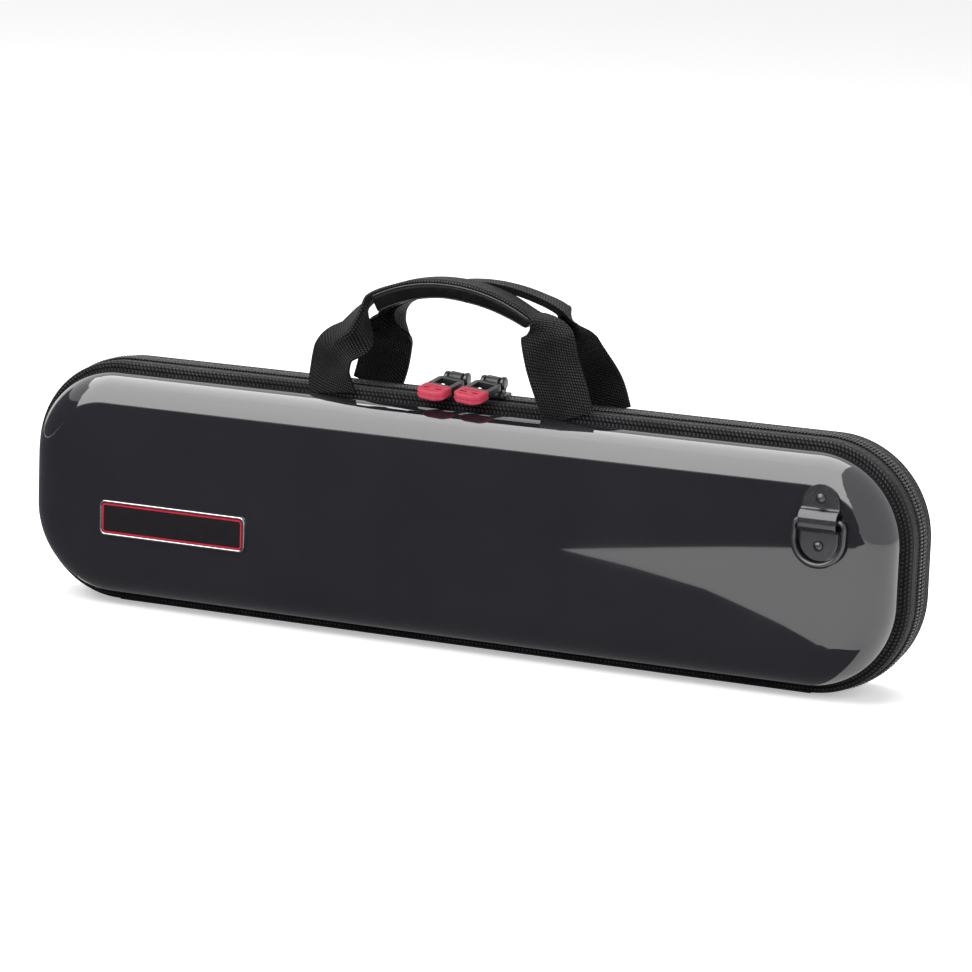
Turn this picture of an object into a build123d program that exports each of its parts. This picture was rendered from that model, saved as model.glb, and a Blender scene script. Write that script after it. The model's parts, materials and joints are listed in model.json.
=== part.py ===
from build123d import *
import math
import os

# A zipped hard-shell flute case, standing on its hinged long edge.
# X runs along the case, Y through its thickness (the front shell faces -Y) and Z up.
# The origin is the middle of the underside, on the fold line of the fabric hinge.

# Driving dimensions, in millimetres.
LENGTH = 430.0            # over the rim, end to end
HEIGHT = 112.6            # over the rim, hinge edge to zip edge
THICKNESS = 64.0          # over the two crowned shells
CORNER_R = 44.4           # rim corner, seen from the front
MID_Z = HEIGHT / 2

SEAM_GAP = 0.4            # from the middle plane to each half's inner lip
RIM_DEPTH = 13.8          # from the middle plane to the shell's edge
SHELL_INSET = 4.8         # shell edge inside the rim outline
SHELL_WALL = 2.0
SHELL_ROLL = 15.5         # radius rolled between the shell's side and its face
FACE_DEPTH = THICKNESS / 2
CROWN_R_X = 15000.0       # the face bulges a little along the case
CROWN_R_Z = 1100.0        # and a little more across it
CROWN_HALF_ANGLE = 6.0    # degrees of the bulge's arc that are drawn each way

BAND_OFFSET = 0.9         # woven band inside the rim outline
BAND_INNER = 6.6          # inner face of the band's stiff frame
SHOULDER_Y = RIM_DEPTH - 2.6    # where the band starts to turn down to the shell
SHOULDER_MID = (2.4, RIM_DEPTH - 0.95)  # a point on that turn: depth, distance
POCKET_TOP = 1.6          # hollow under the zip tape, where the sliders' lower plates run
POCKET_FLOOR = 4.3
POCKET_HALF = 6.6

TAPE_EDGE = 0.8           # from the middle plane to the tape's free edge
TAPE_OUTER = 9.0
TAPE_TOP = 1.0
TAPE_T = 0.5
COIL_HALF = 1.4           # half width of one row of coil
COIL_Y = TAPE_EDGE + COIL_HALF
LEAF_HALF = 10.4          # width of each leaf of the fabric hinge
LEAF_T = 0.8

# Sliders and their pulls.
SLIDER_X = (-7.2, 10.8)   # left and right, resting either side of the middle
SLIDER_L = 14.0
SLIDER_NOSE_W = 12.0
SLIDER_TAIL_W = 9.4
SLIDER_SHOULDER = 4.0     # length of the nose's parallel sides
SLIDER_NOSE_CUT = 1.0     # cut off each corner of the nose
PLATE_CORNER_R = 1.2
PLATE_EDGE_R = 0.5
PLATE_T = 1.3
PLATE_LIFT = 0.5          # upper plate above the coil's crest
LIP_T = 0.8
LIP_DROP = 0.3
LOWER_PLATE_TOP = 1.9     # below the rim outline
POST_T = 1.0              # wedge between the two rows of coil
POST_L = 3.2
POST_SETBACK = 0.4        # behind the tip of the nose
BRIDGE_Z = HEIGHT + 6.2   # centre of the bar that the pull swings on
BRIDGE_BAR_R = 1.1
BRIDGE_SPAN = 10.4        # over the bridge's two ears
EAR_T = 2.4
EAR_R = 2.0
EAR_SUNK = 0.4            # the ears start this far down in the plate
PULL_W = 13.6
PULL_T = 2.8
EYE_R = 2.6
EYE_BORE = 1.2
EYE_W = 5.0
FRAME_START = 3.4         # distances along the pull from its bar
WINDOW = (6.4, 14.4)
WINDOW_W = 7.4
TONGUE_W = 8.0
TONGUE_T = 1.2
TONGUE_END = 26.0
PULL_CORNER_R = 2.4
PULL_EDGE = 0.4
TIP_START = 18.0
TIP_END = 28.5
TIP_W = 14.4
TIP_T = 4.2
TIP_CORNER = 2.6
TIP_EDGE_R = 0.8
TIP_SLOT = (3.0, 1.1, 0.5)  # length, width, depth
PULL_SLOPE = 14.0         # degrees below level, lying forward over the band

# Ring clips, one on each shell at opposite ends.
CLIP_X = 178.8
CLIP_W = 17.4
CLIP_T = 0.9
CLIP_TOP_Z = 96.2
CLIP_BOTTOM_Z = 63.2
CLIP_SEAT = 31.14         # plane of the clip's back, at its lower end
CLIP_LEAN = 0.95          # degrees, following the shell's bulge
RIVET_Z = (90.2, 69.6)
RIVET_R = 2.1
RIVET_DOME = 1.4
SHANK_R = 1.2
LOOP_Z = 80.4             # axis of the clip's half-round loop
WIRE_R = 1.3
LOOP_BORE = 1.38
RING_W = 25.0             # over the wire
RING_DROP = 20.3          # from the loop's axis to the bottom of the wire
RING_BEND = 2.6
RING_LEAN = 3.0           # degrees, the ring lies just clear of the shell

# Badge on the front shell.
BADGE_X = -132.8
BADGE_Z = 42.4
BADGE_L = 75.0
BADGE_H = 16.2
BADGE_R = 2.8
BADGE_T = 1.1
BADGE_FRAME = 0.9
BADGE_SUNK = 0.25
BADGE_CLEAR = 0.03        # the flat badge just touches the bulge at its middle

# Webbing handles.
WEBBING = 24.0
WEBBING_T = 1.6
FOLDED_W = 12.0           # the webbing is folded in two along the hand grip
FOLDED_T = 3.0
PIVOT_Y = RIM_DEPTH + 0.7
PIVOT_Z = HEIGHT - 3.2
ARC_TOP = 163.6
ARC_R = 74.0
ARC_Y = 6.6               # middle of each folded webbing
GRIP_W = 12.4
GRIP_T = 3.8
GRIP_ROUND = 1.5          # rounding of the grip's under edges
GRIP_X = (-41.0, 31.0)
FRONT_ARC_X = -7.0        # crest of each loop
BACK_ARC_X = 3.0
# Each leg is a few stations from its foot to the folded grip:
# (x, distance from the middle plane, z, degrees that its inner edge turns away from
# the middle plane, share of the fold).
FOOT_STATION_Z = PIVOT_Z - 0.6
FRONT_LEFT_LEG = (
    (-62.4, 14.5, FOOT_STATION_Z, 0, 0.0),
    (-63.8, 14.3, 120.0, 6, 0.0),
    (-61.6, 12.9, 131.0, 24, 0.0),
    (-55.6, 10.0, 139.0, 50, 0.5),
)
FRONT_RIGHT_LEG = (
    (53.8, 14.5, FOOT_STATION_Z, 0, 0.0),
    (49.4, 14.3, 120.0, 4, 0.0),
    (43.8, 12.9, 133.0, 28, 0.0),
    (39.9, 10.6, 142.0, 56, 0.5),
)
BACK_LEFT_LEG = (
    (-54.2, 14.5, FOOT_STATION_Z, 0, 0.0),
    (-50.9, 14.3, 120.0, 6, 0.0),
    (-48.0, 12.8, 131.0, 25, 0.0),
    (-47.1, 10.2, 140.5, 58, 0.5),
)
BACK_RIGHT_LEG = (
    (59.2, 14.5, FOOT_STATION_Z, 0, 0.0),
    (55.6, 14.3, 120.5, 6, 0.0),
    (51.6, 12.8, 131.5, 24, 0.0),
    (47.6, 10.4, 141.0, 56, 0.5),
)
ARC_ENDS = (-41.5, 41.5)  # where each folded stretch ends, from its crest
SPLICE = 0.4              # the folded stretch runs this far into each leg

# Foam bed for a flute in three joints, and the accessory pocket.
BED_FIT = 0.25            # clearance of the foam inside the shell
BED_TOP = 1.0             # behind the middle plane
LINING_T = 1.0
TUBE_W = 27.0
KEY_W = 37.0
CHANNEL_DEPTH = 23.0
BODY_CHANNEL = (-184.0, 188.0, 77.2)
HEAD_CHANNEL = (-190.0, 46.0, 33.6)
FOOT_CHANNEL = (54.0, 148.0, 33.6)
POCKET = (156.0, 190.0, 33.6)
CHANNEL_R = 5.0
KEYS_FROM_END = 36.0      # where the body's channel widens for its keys
LIP_BAY_FROM_END = 62.0   # centre of the wide bay for the head joint's lip plate
LIP_BAY_L = 56.0

# The rim's path: where its corners begin, and the straights and corners along it.
END_X = LENGTH / 2 - CORNER_R
TOP_Z = HEIGHT - CORNER_R
LOW_Z = CORNER_R
ALL_ROUND = ("top", "top right", "right", "low right", "bottom", "low left", "left", "top left")
ZIPPED = ("top", "top right", "right", "low right", "low left", "left", "top left")

BACK = 1                  # sign of Y for the half that holds the flute
FRONT = -1


def save(shape, node):
    export_step(shape, f"parts/{node}.step")


def on_half(shape, side):
    """Shapes are drawn for the back half, and mirrored for the front."""
    if side == BACK:
        return shape
    return mirror(shape, about=Plane.XZ)


def outline(inset):
    """The rim's outline, drawn inset, as a face in the XZ plane at Y = 0."""
    size_x = LENGTH - 2 * inset
    size_z = HEIGHT - 2 * inset
    corner = CORNER_R - inset
    face_plane = Plane(origin=(0, 0, MID_Z), x_dir=(1, 0, 0), z_dir=(0, 1, 0))
    return face_plane * RectangleRounded(size_x, size_z, corner)


def slab(inset, y_low, y_high):
    """A plate of the rim's outline between two distances from the middle plane."""
    return Pos(0, y_low, 0) * extrude(outline(inset), amount=y_high - y_low, dir=(0, 1, 0))


def crown(depth):
    """A barrel lying along the case, whose skin is the shell's gently bulging face."""
    half = LENGTH / 2 + 1
    end_y = depth - CROWN_R_X + math.sqrt(CROWN_R_X**2 - half**2)
    axis_y = depth - CROWN_R_Z
    arc = ThreePointArc((-half, end_y), (0, depth), (half, end_y))
    sides = Polyline((half, end_y), (half, axis_y), (-half, axis_y), (-half, end_y))
    axis = Axis((0, axis_y, 0), (1, 0, 0))
    barrel = revolve(make_face([arc, sides]), axis, revolution_arc=2 * CROWN_HALF_ANGLE)
    return Pos(0, 0, MID_Z) * barrel.rotate(axis, -CROWN_HALF_ANGLE)


def moulded_form(inset, depth, roll):
    """Solid form of a shell: rounded outline, rolled edge and crowned face."""
    block = slab(inset, RIM_DEPTH, depth + 2)
    form = block & crown(depth)
    face = form.faces().sort_by(Axis.Y)[-1]
    return fillet(face.edges(), roll)


def shell(side):
    outer = moulded_form(SHELL_INSET, FACE_DEPTH, SHELL_ROLL)
    inner = moulded_form(SHELL_INSET + SHELL_WALL, FACE_DEPTH - SHELL_WALL, SHELL_ROLL - SHELL_WALL)
    return on_half(outer - inner, side)


def straight_run(face, start, finish, turn):
    """Extrude a section along one straight side of the rim."""
    placed = section_plane(start, turn) * face
    run = Vector(*finish) - Vector(*start)
    return extrude(placed, amount=run.length, dir=run)


def corner_run(face, centre, turn):
    """Turn a section through a quarter round one corner of the rim."""
    x, z = centre
    reach = CORNER_R
    angle = math.radians(turn)
    start = (x + reach * math.sin(angle), 0, z + reach * math.cos(angle))
    placed = section_plane(start, turn) * face
    return revolve(placed, Axis((x, 0, z), (0, 1, 0)), revolution_arc=90)


def section_plane(start, turn):
    """Plane whose first axis points into the case and whose second is the distance in Y."""
    angle = math.radians(turn)
    inward = (-math.sin(angle), 0, -math.cos(angle))
    return Plane(origin=start, x_dir=inward, z_dir=Vector(*inward).cross(Vector(0, 1, 0)))


def straight_and_corner_runs(face, names):
    """Join the named straights and corners of one section into a single ring."""
    straights = {
        "top": ((-END_X, 0, HEIGHT), (END_X, 0, HEIGHT), 0),
        "right": ((LENGTH / 2, 0, TOP_Z), (LENGTH / 2, 0, LOW_Z), 90),
        "bottom": ((END_X, 0, 0), (-END_X, 0, 0), 180),
        "left": ((-LENGTH / 2, 0, LOW_Z), (-LENGTH / 2, 0, TOP_Z), 270),
    }
    corners = {
        "top right": ((END_X, TOP_Z), 0),
        "low right": ((END_X, LOW_Z), 90),
        "low left": ((-END_X, LOW_Z), 180),
        "top left": ((-END_X, TOP_Z), 270),
    }
    runs = [straight_run(face, *straights[name]) for name in names if name in straights]
    runs += [corner_run(face, *corners[name]) for name in names if name in corners]
    return Part() + runs


def rim_band(side):
    """Woven band over its stiff frame, with the hollow under the zip tape."""
    shoulder = ThreePointArc((BAND_OFFSET, SHOULDER_Y), SHOULDER_MID, (SHELL_INSET, RIM_DEPTH))
    rest = Polyline(
        (SHELL_INSET, RIM_DEPTH),
        (BAND_INNER, RIM_DEPTH),
        (BAND_INNER, SEAM_GAP),
        (POCKET_FLOOR, SEAM_GAP),
        (POCKET_FLOOR, POCKET_HALF),
        (POCKET_TOP, POCKET_HALF),
        (POCKET_TOP, TAPE_OUTER),
        (BAND_OFFSET, TAPE_OUTER),
        (BAND_OFFSET, SHOULDER_Y),
    )
    return on_half(straight_and_corner_runs(make_face([shoulder, rest]), ALL_ROUND), side)


def zip_tape(side):
    """Smooth tape along the zipped top and ends, from the coil to the woven band."""
    middle = (TAPE_EDGE + TAPE_OUTER) / 2
    strip = Pos(TAPE_TOP + TAPE_T / 2, middle) * Rectangle(TAPE_T, TAPE_OUTER - TAPE_EDGE)
    return on_half(straight_and_corner_runs(strip.face(), ZIPPED), side)


def zip_coil(side):
    """One row of the zip's coil as a bead, standing on the edge of its tape."""
    dome = ThreePointArc((TAPE_TOP, COIL_Y - COIL_HALF), (0, COIL_Y), (TAPE_TOP, COIL_Y + COIL_HALF))
    base = Line((TAPE_TOP, COIL_Y + COIL_HALF), (TAPE_TOP, COIL_Y - COIL_HALF))
    return on_half(straight_and_corner_runs(make_face([dome, base]), ZIPPED), side)


def hinge_leaf(side):
    """Flat fabric strip under the hinged edge, on one side of the fold."""
    width = LEAF_HALF - SEAM_GAP
    leaf = Box(2 * END_X, width, LEAF_T, align=(Align.CENTER, Align.MIN, Align.MIN))
    leaf = fillet(leaf.edges().filter_by(Axis.X).group_by(Axis.Z)[0], LEAF_T / 2)
    return on_half(Pos(0, SEAM_GAP, 0) * leaf, side)


def cavity_fill():
    """Foam and lining that fill one half, from near the middle plane to inside the shell."""
    rim_part = slab(BAND_INNER + BED_FIT, BED_TOP, RIM_DEPTH)
    shell_inset = SHELL_INSET + SHELL_WALL + BED_FIT
    roll = SHELL_ROLL - SHELL_WALL - BED_FIT
    shell_part = moulded_form(shell_inset, FACE_DEPTH - SHELL_WALL - BED_FIT, roll)
    return rim_part + shell_part


def channel(low_x, high_x, centre_z, width, depth):
    """Round-ended hollow, open at the bed's face, with a rounded floor."""
    length = high_x - low_x
    block = Box(length, depth, width, align=(Align.CENTER, Align.MIN, Align.CENTER))
    block = fillet(block.edges().filter_by(Axis.Y), CHANNEL_R)
    block = fillet(block.faces().sort_by(Axis.Y)[-1].edges(), CHANNEL_R - 1)
    return Pos((low_x + high_x) / 2, BED_TOP, centre_z) * block


def flute_hollows(grow):
    """Hollows for the three joints and the accessories, grown by the lining's thickness."""
    deep = CHANNEL_DEPTH + grow
    body_low, body_high, body_z = BODY_CHANNEL
    head_low, head_high, head_z = HEAD_CHANNEL
    foot_low, foot_high, foot_z = FOOT_CHANNEL
    pocket_low, pocket_high, pocket_z = POCKET
    lip_x = head_high - LIP_BAY_FROM_END
    hollows = [
        channel(body_low - grow, body_high + grow, body_z, TUBE_W + 2 * grow, deep),
        channel(
            body_low + KEYS_FROM_END - grow,
            body_high - KEYS_FROM_END + grow,
            body_z + (KEY_W - TUBE_W) / 2,
            KEY_W + 2 * grow,
            deep,
        ),
        channel(head_low - grow, head_high + grow, head_z, TUBE_W + 2 * grow, deep),
        channel(lip_x - LIP_BAY_L / 2 - grow, lip_x + LIP_BAY_L / 2 + grow, head_z, KEY_W + 2 * grow, deep),
        channel(foot_low - grow, foot_high + grow, foot_z, KEY_W + 2 * grow, deep),
        channel(pocket_low - grow, pocket_high + grow, pocket_z, KEY_W + 2 * grow, deep),
    ]
    return Part() + hollows


def foam_fill():
    """The foam alone, without the lining on its face."""
    return cavity_fill() - slab(0, 0, BED_TOP + LINING_T)


def foam_bed():
    """Foam bed, cut out for the flute and its lining."""
    return foam_fill() - flute_hollows(LINING_T)


def bed_lining():
    """Plush drawn over the bed's face and down into its hollows."""
    return cavity_fill() - flute_hollows(0) - foam_bed()


def lid_pad():
    """Foam pad that fills the lid and holds the flute down."""
    return on_half(foam_fill(), FRONT)


def lid_lining():
    """Plush over the lid's pad, with a sewn edge."""
    sheet = slab(BAND_INNER + BED_FIT, BED_TOP, BED_TOP + LINING_T)
    return on_half(sheet, FRONT)


def slider_outline():
    """Plan of a slider's plate, wide at its nose, pointing along +X from its middle."""
    half = SLIDER_L / 2
    nose = SLIDER_NOSE_W / 2
    tail = SLIDER_TAIL_W / 2
    wide = half - SLIDER_SHOULDER
    blunt = nose - SLIDER_NOSE_CUT
    corners = [(-half, -tail), (wide, -nose), (half, -blunt), (half, blunt), (wide, nose), (-half, tail)]
    return fillet(make_face(Polyline(*corners, close=True)).vertices(), PLATE_CORNER_R)


def slider_body(x, facing):
    """Two plates joined by a wedge, with the bridge that carries the pull."""
    plan = slider_outline()
    upper_z = HEIGHT + PLATE_LIFT
    upper = Pos(0, 0, upper_z) * extrude(plan, amount=PLATE_T)
    upper = fillet(upper.faces().sort_by(Axis.Z)[-1].edges(), PLATE_EDGE_R)
    rim = Pos(0, 0, upper_z - LIP_DROP) * extrude(plan, amount=LIP_DROP)
    throat = Box(SLIDER_L + 2, SLIDER_TAIL_W - 2 * LIP_T, 4 * LIP_DROP)
    lips = rim - Pos(0, 0, upper_z) * throat
    lower = Pos(0, 0, HEIGHT - LOWER_PLATE_TOP - PLATE_T) * extrude(plan, amount=PLATE_T)
    post_h = upper_z - HEIGHT + LOWER_PLATE_TOP + PLATE_T
    post = Pos((SLIDER_L - POST_L) / 2 - POST_SETBACK, 0, upper_z - post_h / 2) * Box(POST_L, POST_T, post_h)
    body = upper + lips + lower + post + bridge(upper_z + PLATE_T)
    if facing < 0:
        body = body.rotate(Axis.Z, 180)
    return Pos(x, 0, 0) * body


def bridge(plate_z):
    """Two rounded ears with a round bar between them."""
    height = BRIDGE_Z - plate_z + EAR_SUNK
    ear = Pos(0, 0, BRIDGE_Z - height / 2) * Box(EAR_T, 2 * EAR_R, height)
    ear += Pos(0, 0, BRIDGE_Z) * Rot(0, 90, 0) * Cylinder(EAR_R, EAR_T)
    ear = Pos((BRIDGE_SPAN - EAR_T) / 2, 0, 0) * ear
    bar = Pos(0, 0, BRIDGE_Z) * Rot(0, 90, 0) * Cylinder(BRIDGE_BAR_R, BRIDGE_SPAN - EAR_T)
    return ear + mirror(ear, about=Plane.YZ) + bar


def lay_pull(shape, x):
    """Turn a pull drawn along -Y from its bar down on to the front of the rim."""
    return Pos(x, 0, BRIDGE_Z) * Rot(PULL_SLOPE, 0, 0) * shape


def along_pull(start, end, width, thickness):
    block = Box(width, end - start, thickness)
    return Pos(0, -(start + end) / 2, 0) * block


def pull_frame(x):
    """Moulded frame with a window, an eye for the bar and a tongue for the tip."""
    plate = along_pull(FRAME_START, TIP_START, PULL_W, PULL_T)
    plate = fillet(plate.edges().filter_by(Axis.Z).group_by(Axis.Y)[-1], PULL_CORNER_R)
    plate -= along_pull(WINDOW[0], WINDOW[1], WINDOW_W, 2 * PULL_T)
    plate = chamfer(plate.faces().filter_by(Axis.Z).edges().filter_by(Axis.Y), PULL_EDGE)
    neck = along_pull(EYE_BORE + 0.3, FRAME_START + 1, EYE_W, PULL_T)
    eye = Rot(0, 90, 0) * Cylinder(EYE_R, EYE_W)
    tongue = along_pull(TIP_START - 1, TONGUE_END, TONGUE_W, TONGUE_T)
    bore = Rot(0, 90, 0) * Cylinder(EYE_BORE, 2 * EYE_W)
    return lay_pull(plate + neck + eye + tongue - bore, x)


def pull_tip(x):
    """Soft tip moulded over the frame's tongue, with two plain slots for grip."""
    tip = along_pull(TIP_START, TIP_END, TIP_W, TIP_T)
    tip = chamfer(tip.edges().filter_by(Axis.Z).group_by(Axis.Y)[0], TIP_CORNER)
    tip = fillet(tip.faces().filter_by(Axis.Z).edges(), TIP_EDGE_R)
    slot_l, slot_w, slot_deep = TIP_SLOT
    middle = -(TIP_START + TIP_END) / 2
    for slot_x in (-TIP_W / 5, TIP_W / 5):
        tip -= Pos(slot_x, middle, TIP_T / 2) * Box(slot_l, slot_w, 2 * slot_deep)
    tip -= along_pull(TIP_START - 1, TONGUE_END, TONGUE_W, TONGUE_T)
    return lay_pull(tip, x)


def face_depth_at(x, z):
    """How far the shell's bulging face stands from the middle plane."""
    return FACE_DEPTH - x**2 / (2 * CROWN_R_X) - (z - MID_Z) ** 2 / (2 * CROWN_R_Z)


def seat_clip(shape):
    """Stand a clip drawn with its back at Y = 0 and its front at +Y on the front shell."""
    seat = Plane(origin=(CLIP_X, -CLIP_SEAT, CLIP_BOTTOM_Z), x_dir=(-1, 0, 0), z_dir=(0, 0, 1))
    return seat * Rot(CLIP_LEAN, 0, 0) * Pos(0, 0, -CLIP_BOTTOM_Z) * shape


def at_end(shape, side):
    """The back shell carries the same fitting at the other end."""
    if side == FRONT:
        return shape
    return shape.rotate(Axis.Z, 180)


def rivet_holes(length):
    drill = Rot(90, 0, 0) * Cylinder(SHANK_R, length)
    return Part() + [Pos(0, 0, z) * drill for z in RIVET_Z]


def ring_clip(side):
    """Bent strip: two riveted tabs and a half-round loop over the ring's bar."""
    strip = Box(CLIP_W, CLIP_T, CLIP_TOP_Z - CLIP_BOTTOM_Z)
    strip = Pos(0, CLIP_T / 2, (CLIP_TOP_Z + CLIP_BOTTOM_Z) / 2) * strip
    along_x = Pos(0, LOOP_BORE, LOOP_Z) * Rot(0, 90, 0)
    barrel = along_x * Cylinder(LOOP_BORE + CLIP_T, CLIP_W)
    hollow = along_x * Cylinder(LOOP_BORE, CLIP_W + 2)
    behind = Pos(0, 0, LOOP_Z) * Box(CLIP_W + 2, 20, 8, align=(Align.CENTER, Align.MAX, Align.CENTER))
    slot = Pos(0, LOOP_BORE / 2, LOOP_Z) * Box(CLIP_W + 2, LOOP_BORE, 2 * LOOP_BORE)
    bent = strip + barrel - hollow - behind - slot
    end_r = CLIP_W / 2 - 0.1
    ends = bent.edges().filter_by(Axis.Y)
    bent = fillet([ends.group_by(Axis.Z)[0], ends.group_by(Axis.Z)[-1]], end_r)
    return at_end(seat_clip(bent - rivet_holes(8)), side)


def rivets(side):
    """Two domed rivets through the clip and the shell."""
    dome_r = (RIVET_R**2 + RIVET_DOME**2) / (2 * RIVET_DOME)
    dome = Pos(0, CLIP_T + RIVET_DOME - dome_r, 0) * Sphere(dome_r)
    dome &= Pos(0, CLIP_T, 0) * Box(9, 9, 9, align=(Align.CENTER, Align.MIN, Align.CENTER))
    shank_l = CLIP_T + SHELL_WALL - 0.4
    shank = Pos(0, CLIP_T - shank_l / 2, 0) * Rot(90, 0, 0) * Cylinder(SHANK_R, shank_l)
    rivet = dome + shank
    return at_end(seat_clip(Part() + [Pos(0, 0, z) * rivet for z in RIVET_Z]), side)


def drilled_shell(side):
    """Shell with the holes for its clip's rivets."""
    return shell(side) - at_end(seat_clip(rivet_holes(12)), side)


def ring(side):
    """Wire D ring hanging from its clip's loop."""
    half = RING_W / 2 - WIRE_R
    drop = RING_DROP - WIRE_R - half
    bottom = -drop - half
    sides = Polyline((half, -drop), (half, 0), (-half, 0), (-half, -drop))
    loop = Wire([*sides.edges(), ThreePointArc((-half, -drop), (0, bottom), (half, -drop))])
    loop = loop.fillet_2d(RING_BEND, [v for v in loop.vertices() if abs(v.Y) < 0.1])
    start = Plane(origin=(0, bottom, 0), x_dir=(0, 1, 0), z_dir=(1, 0, 0))
    wire = sweep(start * Circle(WIRE_R), path=loop)
    hung = Pos(0, LOOP_BORE, LOOP_Z) * Rot(90 + RING_LEAN, 0, 0) * wire
    return at_end(seat_clip(hung), side)


def badge_plane():
    """Plane of the badge's back, tangent to the bulge, facing out of the front shell."""
    slope_x = BADGE_X / CROWN_R_X
    slope_z = (BADGE_Z - MID_Z) / CROWN_R_Z
    depth = face_depth_at(BADGE_X, BADGE_Z) + BADGE_CLEAR
    return Plane(
        origin=(BADGE_X, -depth, BADGE_Z),
        x_dir=(1, slope_x, 0),
        z_dir=(slope_x, -1, slope_z),
    )


def badge_frame():
    """Bright raised edge of the badge."""
    outer = RectangleRounded(BADGE_L, BADGE_H, BADGE_R)
    inner = RectangleRounded(BADGE_L - 2 * BADGE_FRAME, BADGE_H - 2 * BADGE_FRAME, BADGE_R - BADGE_FRAME)
    edge = extrude(outer - inner, amount=BADGE_T)
    edge = chamfer(edge.faces().sort_by(Axis.Z)[-1].edges(), 0.2)
    return badge_plane() * edge


def badge_plate():
    """Bare field of the badge, set a little below its edge."""
    field = RectangleRounded(BADGE_L - 2 * BADGE_FRAME, BADGE_H - 2 * BADGE_FRAME, BADGE_R - BADGE_FRAME)
    return badge_plane() * extrude(field, amount=BADGE_T - BADGE_SUNK)


def webbing_face(point, tangent, twist, fold):
    """Section of the webbing: flat along X at the foot, turned to lie flat at the grip."""
    width = WEBBING + (FOLDED_W - WEBBING) * fold
    thickness = WEBBING_T + (FOLDED_T - WEBBING_T) * fold
    turn = math.radians(twist)
    across = Vector(math.cos(turn), math.sin(turn), 0)
    across = (across - tangent * across.dot(tangent)).normalized()
    return Plane(origin=point, x_dir=across, z_dir=tangent) * Rectangle(width, thickness)


def arc_point(crest_x, along):
    """Middle of the folded webbing on the grip's arc, and the way it runs towards +X."""
    radius = ARC_R - FOLDED_T / 2
    rise = math.sqrt(radius**2 - along**2)
    point = Vector(crest_x + along, ARC_Y, ARC_TOP - ARC_R + rise)
    return point, Vector(rise, 0, -along).normalized()


def leg(stations, crest_x, end):
    """One leg of a handle, lofted from its sewn foot up to the folded grip."""
    points = [Vector(x, y, z) for x, y, z, _, _ in stations]
    top, run = arc_point(crest_x, end)
    points.append(top)
    tangents = [Vector(0, 0, 1)]
    tangents += [(after - before).normalized() for before, after in zip(points, points[2:])]
    tangents.append(run if end < 0 else run * -1)
    side = 1 if end < 0 else -1
    twists = [side * station[3] for station in stations] + [side * 90]
    folds = [station[4] for station in stations] + [1.0]
    faces = [webbing_face(*section) for section in zip(points, tangents, twists, folds)]
    return loft([face.face() for face in faces])


def grip_arc(crest_x, low, high, outer_r, thickness, width):
    """A stretch of the grip's arc between two distances along X from its crest."""
    centre = Vector(crest_x, 0, ARC_TOP - ARC_R)
    angles = [math.asin(x / outer_r) for x in (low, 0, high)]
    outer = [(outer_r * math.sin(a), outer_r * math.cos(a)) for a in angles]
    inner_r = outer_r - thickness
    inner = [(inner_r * math.sin(a), inner_r * math.cos(a)) for a in angles]
    edges = [
        ThreePointArc(*outer),
        Line(outer[2], inner[2]),
        ThreePointArc(*reversed(inner)),
        Line(inner[0], outer[0]),
    ]
    plane = Plane(origin=centre, x_dir=(1, 0, 0), z_dir=(0, -1, 0))
    profile = plane * make_face(edges)
    return Pos(0, ARC_Y + width / 2, 0) * extrude(profile, amount=width)


def strap(crest_x, left_leg, right_leg, side):
    """One webbing loop: two twisting legs and the folded stretch between them."""
    low, high = ARC_ENDS
    widen = ARC_R / (ARC_R - FOLDED_T / 2)
    middle = grip_arc(crest_x, low * widen - SPLICE, high * widen + SPLICE, ARC_R, FOLDED_T, FOLDED_W)
    loop = middle.fuse(leg(left_leg, crest_x, low), leg(right_leg, crest_x, high))
    return on_half(loop, side)


def handle_grip():
    """Padded sleeve sewn under the front loop's folded webbing."""
    low, high = (x - FRONT_ARC_X for x in GRIP_X)
    pad = grip_arc(FRONT_ARC_X, low, high, ARC_R - FOLDED_T, GRIP_T, GRIP_W)
    edges = pad.faces().sort_by(Axis.Z)[0].edges()
    pad = fillet(edges, GRIP_ROUND)
    return on_half(pad, FRONT)


def build_half(side, name):
    """Pieces that both halves of the case have."""
    save(drilled_shell(side), f"{name}_shell")
    save(rim_band(side), f"{name}_rim_band")
    save(zip_tape(side), f"{name}_zip_tape")
    save(zip_coil(side), f"{name}_zip_coil")
    save(hinge_leaf(side), f"{name}_hinge_leaf")
    save(ring_clip(side), f"{name}_ring_clip")
    save(rivets(side), f"{name}_clip_rivets")
    save(ring(side), f"{name}_carry_ring")


def build_slider(name, x, facing):
    save(slider_body(x, facing), f"{name}_slider_body")
    save(pull_frame(x), f"{name}_pull_frame")
    save(pull_tip(x), f"{name}_pull_tip")


def main():
    os.makedirs("parts", exist_ok=True)
    build_half(BACK, "back")
    build_half(FRONT, "front")
    save(foam_bed(), "foam_bed")
    save(bed_lining(), "bed_lining")
    save(lid_pad(), "lid_pad")
    save(lid_lining(), "lid_lining")
    save(badge_frame(), "badge_frame")
    save(badge_plate(), "badge_plate")
    build_slider("left", SLIDER_X[0], 1)
    build_slider("right", SLIDER_X[1], -1)
    save(strap(FRONT_ARC_X, FRONT_LEFT_LEG, FRONT_RIGHT_LEG, FRONT), "front_handle_strap")
    save(handle_grip(), "front_handle_grip")
    save(strap(BACK_ARC_X, BACK_LEFT_LEG, BACK_RIGHT_LEG, BACK), "back_handle_strap")


main()
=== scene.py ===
import json
from math import cos, dist, exp, hypot, pi, radians, sin, sqrt, tan

import bpy
from mathutils import Matrix, Vector

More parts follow.
